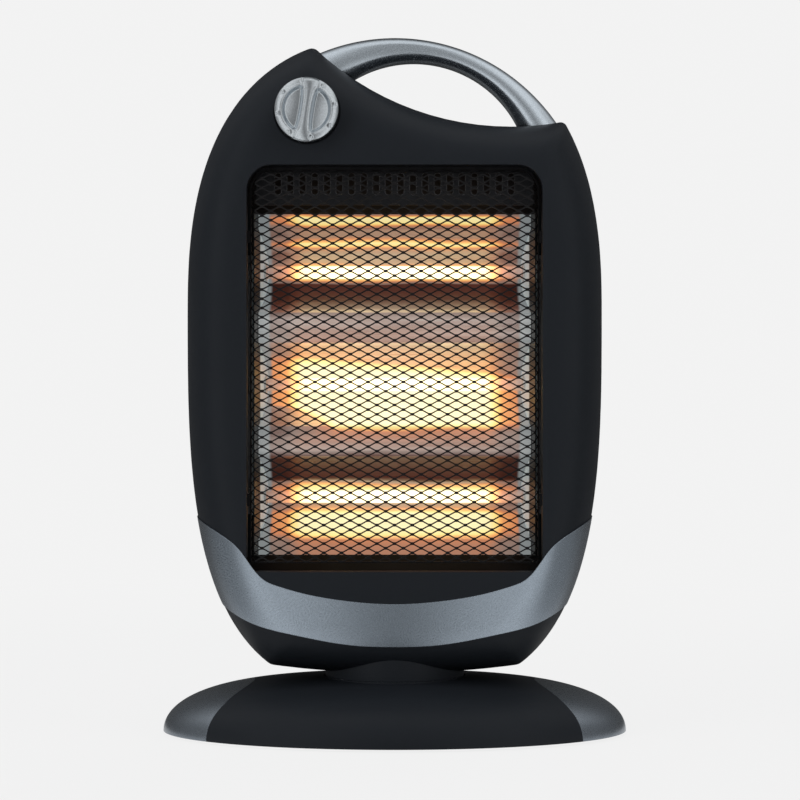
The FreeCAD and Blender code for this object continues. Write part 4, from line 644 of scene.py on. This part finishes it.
grille_low, grille_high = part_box("grille")
FACE_Y = grille_low.y
BACK_Y = grille_high.y
FLAT_HALF = 0.1054
FLAT_TOP = grille_high.z - 0.0046
FOLD_DEPTH = BACK_Y - FACE_Y
print("grille from", tuple(grille_low), "to", tuple(grille_high))

# %% [markdown]
# A strand is first laid out flat, in a sheet that is as wide as the folded one would be when
# unrolled. A short function then folds each point: inside the flat part nothing changes, and
# beyond the fold line the extra length runs backwards along the sloping flange.

# %% Fold a flat point into the grille's tray
SIDE_SLOPE = math.hypot(grille_high.x - FLAT_HALF, FOLD_DEPTH)


def folded(across, flat, reach):
    """Where a flat distance lands: its sideways place and how far back it lies."""
    share = max(0.0, across - flat) / math.hypot(reach, FOLD_DEPTH)
    return min(across, flat) + reach * share, FOLD_DEPTH * share


def grille_point(u, v, sunk):
    """A point of the folded sheet from its flat coordinates and its place in the thickness."""
    side = -1.0 if u < 0 else 1.0
    x, back_x = folded(abs(u), FLAT_HALF, grille_high.x - FLAT_HALF)
    z, back_z = folded(v, FLAT_TOP, grille_high.z - FLAT_TOP)
    return Vector((side * x, FACE_Y + max(back_x, back_z) + sunk, z))


print("each side flange is", round(SIDE_SLOPE * 1000, 1), "mm wide")

# %% [markdown]
# Each strand of one row visits the bond points at the bottom and at the top of its row in turn.
# Around a bond it runs level for a millimetre, which gives the cells their blunt corners.

# %% Lay out the strands
def zigzag_row(level, low, columns):
    """Flat centre line of one strand."""
    line = []
    for column in range(-columns, columns + 1):
        top = (column + level) % 2
        v = low + (level + top) * CELL_HEIGHT / 2 + (0.5 - top) * STRAND_WIDTH * BOND_LEAN
        u = column * CELL_WIDTH / 2
        line += [(u - BOND_HALF, v), (u + BOND_HALF, v)]
    return line


def in_frame(point, margin):
    """Whether a point of the folded sheet lies inside the rounded upper corners."""
    over_x = abs(point.x) - (grille_high.x - CORNER_ROUND)
    over_z = point.z - (grille_high.z - CORNER_ROUND)
    return over_x <= 0 or over_z <= 0 or math.hypot(over_x, over_z) <= CORNER_ROUND - margin


print("a cell is", CELL_WIDTH * 1000, "by", CELL_HEIGHT * 1000, "mm")

# %% [markdown]
# A strand gets its body from rings of four corners, one at each point of its line. Faces between
# neighbouring rings make the sides, and the end rings are closed. Where the line leaves the
# rounded corner of the frame, the strand is cut, and a new one starts.

# %% Draw the strands
def skin(mesh, rings):
    """Faces between rings of four corners, and one at each end."""
    for one, two in zip(rings, rings[1:]):
        for i in range(4):
            j = (i + 1) % 4
            mesh.faces.new((one[i], one[j], two[j], two[i]))
    mesh.faces.new(rings[0])
    mesh.faces.new(tuple(reversed(rings[-1])))


def ribbon(mesh, line, limits):
    """A bent flat bar along a flat line, with a slight twist as the pull leaves it."""
    half = STRAND_WIDTH / 2
    section = ((-half, STRAND_TWIST), (half, 0.0), (half, STRAND_DEPTH),
               (-half, STRAND_DEPTH + STRAND_TWIST))
    runs = [[]]
    for u, v in line:
        u = max(-limits[0], min(limits[0], u))
        v = max(limits[1], min(limits[2], v))
        if in_frame(grille_point(u, v, 0.0), STRAND_WIDTH):
            runs[-1].append([mesh.verts.new(grille_point(u, v + dv, sunk)) for dv, sunk in section])
        else:
            runs.append([])
    for rings in runs:
        if len(rings) > 1:
            skin(mesh, rings)


strands = bmesh.new()
half_flat = FLAT_HALF + SIDE_SLOPE - SIDE_ROOM
top_flat = FLAT_TOP + SIDE_SLOPE - SIDE_ROOM
bottom_flat = grille_low.z + FOOT_ROOM
columns = int(half_flat / (CELL_WIDTH / 2)) + 1
rows = int((top_flat - bottom_flat) / (CELL_HEIGHT / 2))
for level in range(rows):
    ribbon(strands, zigzag_row(level, bottom_flat, columns), (half_flat, bottom_flat, top_flat))
print("rows of strands:", rows, "bond points in a row:", 2 * columns + 1)

# %% [markdown]
# The cut edge of the sheet sits in a thin folded rim, which also touches the clips on the cover.

# %% Add the rim and make the grille
RIM_WIDTH = 0.0012
RIM_DEPTH = 0.003
CORNER_STEPS = 6


def rim_bar(mesh, start, end):
    """A bar of the rim between two points, with its back towards the cover."""
    inward = Vector((0, 1, 0))
    across = (end - start).normalized().cross(inward)
    skin(mesh, [[mesh.verts.new(point + across * a * RIM_WIDTH + inward * b * RIM_DEPTH)
                 for a, b in ((-0.5, -1), (0.5, -1), (0.5, 0), (-0.5, 0))]
                for point in (start, end)])


rim_x = grille_high.x - RIM_WIDTH / 2
rim_z = grille_high.z - RIM_WIDTH / 2
rim_low = grille_low.z + RIM_WIDTH / 2
turn_radius = CORNER_ROUND - RIM_WIDTH / 2
path = [Vector((-rim_x, BACK_Y, rim_low)), Vector((rim_x, BACK_Y, rim_low))]
for side, first in ((1, 0), (-1, 90)):
    for step in range(CORNER_STEPS + 1):
        turn = math.radians(first + 90 / CORNER_STEPS * step)
        path.append(Vector((side * (rim_x - turn_radius) + turn_radius * math.cos(turn), BACK_Y,
                            rim_z - turn_radius + turn_radius * math.sin(turn))))
for start, end in zip(path, path[1:] + path[:1]):
    rim_bar(strands, start, end)

bmesh.ops.recalc_face_normals(strands, faces=strands.faces)
grille_mesh = bpy.data.meshes.new("expanded_grille")
strands.to_mesh(grille_mesh)
strands.free()
grille = placed("expanded_grille", grille_mesh)
grille_mesh.materials.append(mesh_paint)
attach(grille, "head")
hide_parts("grille")
print("grille faces:", len(grille_mesh.polygons))

# %% [markdown]
# ## Lips of the vent slots
#
# The slots in the panel above the reflector are pressed, not cut with a laser: the press turns a
# thin lip forward around each hole. It is far too fine for the CAD, but it catches the light, and
# through the grille it is all that one sees of the panel. Its paint is a lighter copy of the
# panel's black: a painted highlight along each lip. A round wire along each slot's edge, half
# sunk into the sheet, gives that lip. A curve with a round bevel is such a wire.

# %% Draw the lips
SLOT_COUNT = 20
SLOT_PITCH = 0.0094
SLOT_HALF = 0.00265
SLOT_REACH = 0.0085
SLOT_MIDDLE = 0.4245
LIP_RADIUS = 0.0003
LIP_SINK = 0.00005
LIP_POINTS = 16


def round_wire(name, radius, runs, closed, finish):
    """A curve with a round section along one or more lists of points."""
    data = bpy.data.curves.new(name, "CURVE")
    data.dimensions = "3D"
    data.bevel_depth = radius
    data.bevel_resolution = 2
    for run in runs:
        line = data.splines.new("POLY")
        line.points.add(len(run) - 1)
        line.use_cyclic_u = closed
        for spot, point in zip(line.points, run):
            spot.co = (*point, 1.0)
    data.materials.append(finish)
    return placed(name, data)


def slot_outline(middle, y):
    """Points around one slot: two half circles, one above the other."""
    outline = []
    for step in range(LIP_POINTS):
        turn = 2 * math.pi * (step + 0.5) / LIP_POINTS
        straight = math.copysign(SLOT_REACH - SLOT_HALF, math.sin(turn))
        outline.append((middle + SLOT_HALF * math.cos(turn), y,
                        SLOT_MIDDLE + straight + SLOT_HALF * math.sin(turn)))
    return outline


# Painted highlight: the lip's paint is about three times as light as the panel's black.
lip_highlight_paint = sheet_metal("vent_lip_painted_highlight", (0.07, 0.07, 0.075), 0.4, 0.0, 1.0, specular=0.5)
panel_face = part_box("vent_panel")[0].y
slots = [slot_outline((number - (SLOT_COUNT - 1) / 2) * SLOT_PITCH, panel_face + LIP_SINK)
         for number in range(SLOT_COUNT)]
vent_lips = round_wire("vent_lips", LIP_RADIUS, slots, True, lip_highlight_paint)
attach(vent_lips, "head")
print("lips:", len(slots))

# %% [markdown]
# ## The handle
#
# The handle is an arch between two circles, a wide one outside and a smaller one inside, which
# makes it thick at the right and in the middle and slim at the left. The CAD section is a plain
# rounded bar. The real one is crowned like a tube, and that crown draws the long highlight of the
# photograph. So each half is lofted here: at every station of the arch the section is half of a
# rounded oval, as wide as the arch is there and as deep as the CAD bar.

# %% The arch and its section
OUTER_ARC = {"centre": (0.0, 0.3875), "radius": 0.1532, "turns": (114.5, 33.4)}
INNER_ARC = {"centre": (0.015, 0.4313), "radius": 0.09, "turns": (126.0, 22.0)}
HANDLE_STATIONS = 72
SECTION_POINTS = 22
OVAL_POWER = 2.4
SEAM_DEPTH = 0.00008


def on_arc(arc, share):
    """A point of an arc, from its first turn to its last."""
    turn = math.radians(arc["turns"][0] + (arc["turns"][1] - arc["turns"][0]) * share)
    return Vector((arc["centre"][0] + arc["radius"] * math.cos(turn), 0.0,
                   arc["centre"][1] + arc["radius"] * math.sin(turn)))


def half_oval(step):
    """One point of half a rounded oval: across the arch and out of its seam, as shares of 1."""
    turn = math.pi * step / SECTION_POINTS
    across = math.copysign(abs(math.cos(turn)) ** (2 / OVAL_POWER), math.cos(turn))
    out = math.sin(turn) ** (2 / OVAL_POWER) if 0 < step < SECTION_POINTS else 0.0
    return across, out


print("the oval's corner lies at", [round(share, 2) for share in half_oval(SECTION_POINTS // 4)])

# %% [markdown]
# A loft is again rings and faces between them, with many more points. The flat seam side has
# points of its own, so that the smooth shading stops at its edge.

# %% Loft both halves of the handle
def smooth_piece(name, vertices, faces, material):
    """A mesh object with smooth shading."""
    mesh = bpy.data.meshes.new(name)
    mesh.from_pydata(vertices, [], faces)
    mesh.validate()
    for face in mesh.polygons:
        face.use_smooth = True
    mesh.materials.append(material)
    return placed(name, mesh)


def handle_half(name, node, facing):
    """Front (-1) or rear (1) half of the arch, with a flat face at the seam."""
    low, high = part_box(node)
    depth = max(abs(low.y), abs(high.y))
    vertices, faces = [], []
    count = SECTION_POINTS + 1
    for station in range(HANDLE_STATIONS + 1):
        share = station / HANDLE_STATIONS
        outer, inner = on_arc(OUTER_ARC, share), on_arc(INNER_ARC, share)
        middle, reach = (outer + inner) / 2, (outer - inner) / 2
        for step in range(count):
            across, out = half_oval(step)
            point = middle + reach * across
            vertices.append((point.x, facing * max(SEAM_DEPTH, depth * out), point.z))
    for station in range(HANDLE_STATIONS):
        for step in range(SECTION_POINTS):
            a = station * count + step
            faces.append((a, a + 1, a + 1 + count, a + count))
    seam = len(vertices)
    for station in range(HANDLE_STATIONS + 1):
        vertices += [vertices[station * count], vertices[station * count + SECTION_POINTS]]
    for station in range(HANDLE_STATIONS):
        a = seam + 2 * station
        faces.append((a, a + 2, a + 3, a + 1))
    faces.append(tuple(range(count)))
    faces.append(tuple(range(HANDLE_STATIONS * count, (HANDLE_STATIONS + 1) * count)))
    piece = smooth_piece(name, vertices, faces, silver_paint_lit_for_handle)
    shell = bmesh.new()
    shell.from_mesh(piece.data)
    bmesh.ops.recalc_face_normals(shell, faces=shell.faces)
    shell.to_mesh(piece.data)
    shell.free()
    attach(piece, "head")
    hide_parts(node)
    return piece


for end, facing in (("front", -1), ("rear", 1)):
    half = handle_half("crowned_handle_" + end, "handle_" + end, facing)
    print(half.name, len(half.data.polygons), "faces")

# %% [markdown]
# ## The knob
#
# A knob like this is cast in one piece: a slightly domed disc, two deep finger scoops with a
# waisted bar between them, a thin raised lip around each scoop, and eight small dimples at the
# rim that mark the settings. All of it can be written as one height over a disc. Rings of points
# follow the disc, and each point is lifted to its height. The sizes here are in millimetres.

# %% The height of the knob's face
GRIP_LEAN = math.radians(9)
BAR_HALF, BAR_FLARE, BAR_CROWN, BAR_SAG = 3.1, 2.0, 0.5, 0.9
SCOOP_REACH, SCOOP_DEPTH, SCOOP_RISE, SCOOP_SLOPE = 18.9, 4.6, 2.4, 3.0
CORNER = 3.5
LIP_HEIGHT, LIP_PLACE, LIP_WIDTH = 0.45, 0.3, 0.5
DIMPLES, DIMPLE_RING, DIMPLE_RADIUS, DIMPLE_DEPTH = 8, 21.6, 1.9, 1.3
FACE_EDGE, FACE_DROP, RIM_DROP = 23.8, 1.1, 1.8
SKIRT = 12.0


def eased_step(share):
    """A smooth step from 0 to 1."""
    share = min(1.0, max(0.0, share))
    return share * share * (3 - 2 * share)


def knob_height(x, z, radius, crown):
    """Height above the knob's back for a point in front view."""
    r = math.hypot(x, z)
    if r > FACE_EDGE:
        share = min(1.0, (r - FACE_EDGE) / (radius - FACE_EDGE))
        edge = crown - FACE_DROP - RIM_DROP
        return SKIRT + (edge - SKIRT) * math.sqrt(max(0.0, 1 - share ** 2.2))
    height = crown - FACE_DROP * (r / FACE_EDGE) ** 2 - RIM_DROP * (r / FACE_EDGE) ** 9
    u = x * math.cos(GRIP_LEAN) - z * math.sin(GRIP_LEAN)
    v = x * math.sin(GRIP_LEAN) + z * math.cos(GRIP_LEAN)
    waist = BAR_HALF + BAR_FLARE * (abs(v) / SCOOP_REACH) ** 3
    from_bar = abs(u) - waist
    from_rim = SCOOP_REACH - r
    inside = min(from_bar, from_rim)
    if from_bar < CORNER and from_rim < CORNER:
        inside = CORNER - math.hypot(CORNER - from_bar, CORNER - from_rim)
    share = min(1.0, max(0.0, from_bar / (SCOOP_REACH - BAR_HALF)))
    height -= (SCOOP_DEPTH - SCOOP_RISE * share ** 2.2) * eased_step(inside / SCOOP_SLOPE)
    height += LIP_HEIGHT * math.exp(-((inside + LIP_PLACE) / LIP_WIDTH) ** 2)
    if from_bar < 0:
        height += BAR_CROWN * (1 - (u / waist) ** 2) - BAR_SAG * (v / SCOOP_REACH) ** 2
    for number in range(DIMPLES):
        turn = GRIP_LEAN + 2 * math.pi * number / DIMPLES
        away = math.hypot(x - DIMPLE_RING * math.cos(turn), z - DIMPLE_RING * math.sin(turn))
        height -= DIMPLE_DEPTH * max(0.0, 1 - (away / DIMPLE_RADIUS) ** 2)
    return height


print("height at the middle of the bar:", round(knob_height(0, 0, 24.25, 18.0), 2), "mm")

# %% [markdown]
# The points lie on rings around the middle of the face, a little closer together near the rim.
# Two more rings go down the side of the knob.

# %% Cast the knob
RING_COUNT = 88
SPOKES = 288
SIDE_RINGS = (6.0, 0.0)
FACE_ROOM = 0.4


def cast_knob(name, node):
    """The knob as rings of points from the middle of its face to its back."""
    low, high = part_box(node)
    middle = (low + high) / 2
    radius = (high.x - low.x) * 500
    crown = (high.y - low.y) * 1000 - FACE_ROOM
    vertices = [(middle.x, high.y - knob_height(0, 0, radius, crown) / 1000, middle.z)]
    for ring in range(1, RING_COUNT + len(SIDE_RINGS) + 1):
        r = radius * min(1.0, ring / RING_COUNT) ** 0.97
        for spoke in range(SPOKES):
            turn = 2 * math.pi * spoke / SPOKES
            x, z = r * math.cos(turn), r * math.sin(turn)
            if ring > RING_COUNT:
                rise = SIDE_RINGS[ring - RING_COUNT - 1]
            else:
                rise = knob_height(x, z, radius, crown)
            vertices.append((middle.x + x / 1000, high.y - rise / 1000, middle.z + z / 1000))
    faces = [(0, 1 + (spoke + 1) % SPOKES, 1 + spoke) for spoke in range(SPOKES)]
    for ring in range(RING_COUNT + 1):
        for spoke in range(SPOKES):
            a = 1 + ring * SPOKES + spoke
            b = 1 + ring * SPOKES + (spoke + 1) % SPOKES
            faces.append((a, b, b + SPOKES, a + SPOKES))
    last = 1 + (RING_COUNT + 1) * SPOKES
    faces.append(tuple(range(last, last + SPOKES)))
    piece = smooth_piece(name, vertices, faces, knob_paint)
    piece.data.polygons[-1].use_smooth = False
    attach(piece, "knob")
    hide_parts(node)
    return piece


knob = cast_knob("cast_knob", "knob")
print("knob faces:", len(knob.data.polygons))

# %% [markdown]
# ## The filaments
#
# The CAD has a plain rod where the real tube has a tight tungsten coil. A coil is one long helix:
# a curve with many points and a round bevel, like the lips above. At both ends the wire runs
# straight out to the pin.

# %% Wind the coils
COIL_RADIUS = 0.0013
WIRE_RADIUS = 0.00028
COIL_PITCH = 0.00125
TURN_POINTS = 10
LEAD_START = 0.002
LEAD_INSET = 0.001


def wound_coil(name, node):
    """A helix in the middle of a tube, and straight leads at its ends."""
    low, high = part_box(node)
    middle = (low + high) / 2
    turns = round(2 * FILAMENT_HALF / COIL_PITCH)
    last = turns * TURN_POINTS
    points = [(low.x + LEAD_INSET, middle.y, middle.z),
              (-FILAMENT_HALF - LEAD_START, middle.y, middle.z)]
    for step in range(last + 1):
        turn = 2 * math.pi * step / TURN_POINTS
        points.append((-FILAMENT_HALF + 2 * FILAMENT_HALF * step / last,
                       middle.y + COIL_RADIUS * math.cos(turn),
                       middle.z + COIL_RADIUS * math.sin(turn)))
    points += [(FILAMENT_HALF + LEAD_START, middle.y, middle.z),
               (high.x - LEAD_INSET, middle.y, middle.z)]
    coil = round_wire(name, WIRE_RADIUS, [points], False, hot_wire)
    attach(coil, "head")
    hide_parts(node)
    return turns


for level in ("lower", "middle", "upper"):
    turns = wound_coil("coil_" + level, "filament_" + level)
print("turns in each coil:", turns)

# %% [markdown]
# ## The studio
#
# A pale sweep runs along the floor and up behind the heater, so that no horizon line shows. For
# the rays that look at it, from the camera, through glass or off a gloss, its colour is mixed
# with a plain white: that keeps it as pale as the paper of a catalogue without pouring more light
# on the heater, and the soft shadow on the floor stays.
#
# Paint and metal show what stands around them: in a studio, white cards and dark screens. Here
# one small function does it. Seen from the heater there is a grey gap straight ahead, a white
# card on either side of it and one overhead, and it gets dark behind. Round forms then have a
# soft light on each flank and a dark edge against the white paper.

# %% What the gloss sees
PAPER_WHITE = (0.892, 0.892, 0.892, 1.0)
SIDE_CARDS = ((0.0, 0.26), (0.1, 0.37), (0.2, 0.6), (0.3, 0.84), (0.42, 1.0), (0.62, 1.06),
              (0.75, 0.85), (0.87, 0.42), (1.0, 0.3))
TOP_CARD = 0.95
REAR_LEVEL = 0.25


def looked_at(tree):
    """1 for rays from the camera, through glass or off a gloss; 0 for other light."""
    path = add(tree, "LightPath").outputs
    either = reckon(tree, "MAXIMUM", path["Is Camera Ray"], path["Is Transmission Ray"])
    return reckon(tree, "MAXIMUM", either, path["Is Glossy Ray"])


def mirrored(tree, direction, behind=1.0):
    """How bright the studio is for gloss that mirrors this direction; 1 for all other rays."""
    apart = add(tree, "SeparateXYZ", Vector=direction).outputs
    sideways = reckon(tree, "ABSOLUTE", apart["X"])
    cards = ramp(tree, sideways, *((place, grey(level)) for place, level in SIDE_CARDS))
    top = eased(tree, apart["Z"], 0.7, 0.95, 0.0, TOP_CARD)
    rear = eased(tree, apart["Y"], 0.05, 0.8, 1.0, REAR_LEVEL * behind)
    level = times(tree, rear, reckon(tree, "MAXIMUM", cards, top))
    mix = add(tree, "Mix", {"data_type": "FLOAT"}, A=1.0, B=level,
              Factor=add(tree, "LightPath").outputs["Is Glossy Ray"])
    return mix.outputs["Result"]


def mix_shaders(tree, share, first, second, output):
    """Two shaders mixed by a share and joined to the output."""
    blend = add(tree, "MixShader", Fac=share)
    tree.links.new(first, blend.inputs[1])
    tree.links.new(second, blend.inputs[2])
    tree.links.new(blend.outputs["Shader"], output.inputs["Surface"])


print("cards at", [place for place, level in SIDE_CARDS if level > 0.8])

# %% [markdown]
# The sweep is one profile line drawn out sideways, and its paper is dull. Around the heater a
# small share of its own colour stays in the white, so that the shadow shows there. The direction
# that gloss mirrors is the paper's own place, seen from a point near the heater's middle.

# %% Floor and sweep
SWEEP = {"width": 12.0, "front": -4.0, "back": 3.0, "height": 5.0, "bend": 1.2}
BEND_STEPS = 24
SEEN_FROM = (0.0, 0.0, 0.2)
SHADOW_NEAR, SHADOW_FAR = 0.5, 1.6
WHITE_NEAR = 0.94


def sweep_strip(width, front, back, height, bend):
    """Points and faces of floor, rounded bend and wall as one strip."""
    profile = [(front, 0.0)]
    for step in range(BEND_STEPS + 1):
        turn = math.pi / 2 * step / BEND_STEPS
        profile.append((back - bend + bend * math.sin(turn), bend - bend * math.cos(turn)))
    profile.append((back, height))
    points = [(side * width / 2, y, z) for y, z in profile for side in (-1, 1)]
    faces = [(2 * i, 2 * i + 1, 2 * i + 3, 2 * i + 2) for i in range(len(profile) - 1)]
    return points, faces


def vector_reckon(tree, operation, *values):
    """A Vector Math node from sockets or plain vectors."""
    new = add(tree, "VectorMath", {"operation": operation})
    for socket, value in zip(new.inputs, values):
        feed(tree, socket, value)
    return new.outputs


paper, tree, surface = fresh_material("paper")
fill_in(tree, surface, Roughness=0.9, Specular_IOR_Level=0.0, Base_Color=(0.8, 0.8, 0.8, 1.0))
place = object_space(tree)
seen_from = vector_reckon(tree, "SUBTRACT", place, SEEN_FROM)["Vector"]
toward = vector_reckon(tree, "NORMALIZE", seen_from)["Vector"]
away = vector_reckon(tree, "LENGTH", place)["Value"]
pure = eased(tree, away, SHADOW_NEAR, SHADOW_FAR, WHITE_NEAR, 1.0)
shine = add(tree, "Emission", Color=PAPER_WHITE, Strength=mirrored(tree, toward, 0.5))
output = next(item for item in tree.nodes if item.type == "OUTPUT_MATERIAL")
mix_shaders(tree, times(tree, looked_at(tree), pure), surface.outputs["BSDF"],
            shine.outputs["Emission"], output)
sweep = smooth_piece("paper_sweep", *sweep_strip(**SWEEP), paper)
print("sweep:", len(sweep.data.vertices), "points")

# %% [markdown]
# ## Light
#
# Two large soft boxes stand left and right of the camera, one hangs overhead and one stands
# behind. The left one is the strongest, as the bright side of the handle shows. The world adds an
# even fill, so that no side of the heater is dark when it is seen from behind. The lamps stay out
# of the reflections, as behind diffusing cloth: what the gloss mirrors are the cards.

# %% Soft boxes and world
CENTRE = (0.0, 0.0, 0.28)
SOFT_BOXES = (("soft_box_left", (-1.6, -1.5, 0.9), (0.9, 1.6), 22.0),
              ("soft_box_right", (1.7, -1.3, 0.8), (0.7, 1.6), 10.0),
              ("soft_box_top", (0.0, -0.4, 2.2), (1.8, 1.2), 16.0),
              ("soft_box_back", (0.6, 1.9, 1.4), (1.4, 1.2), 16.0))
FILL_COLOUR = (0.9, 0.95, 1.0, 1.0)
FILL_STRENGTH = 0.35


def soft_box(name, place, size, power):
    """A square lamp that faces the heater."""
    data = bpy.data.lights.new(name, "AREA")
    data.shape = "RECTANGLE"
    data.size, data.size_y = size
    data.energy = power
    lamp = placed(name, data)
    lamp.location = place
    lamp.visible_glossy = False
    lamp.rotation_euler = (Vector(CENTRE) - Vector(place)).to_track_quat("-Z", "Y").to_euler()


for box in SOFT_BOXES:
    soft_box(*box)

world = bpy.data.worlds.new("studio")
world.use_nodes = True
bpy.context.scene.world = world
tree = world.node_tree
tree.nodes.clear()
output = tree.nodes.new("ShaderNodeOutputWorld")
fill = add(tree, "Background", Color=FILL_COLOUR, Strength=FILL_STRENGTH)
around = add(tree, "TexCoord").outputs["Generated"]
white = add(tree, "Background", Color=PAPER_WHITE, Strength=mirrored(tree, around))
mix_shaders(tree, looked_at(tree), fill.outputs["Background"], white.outputs["Background"], output)
bpy.context.scene.view_settings.view_transform = "Standard"
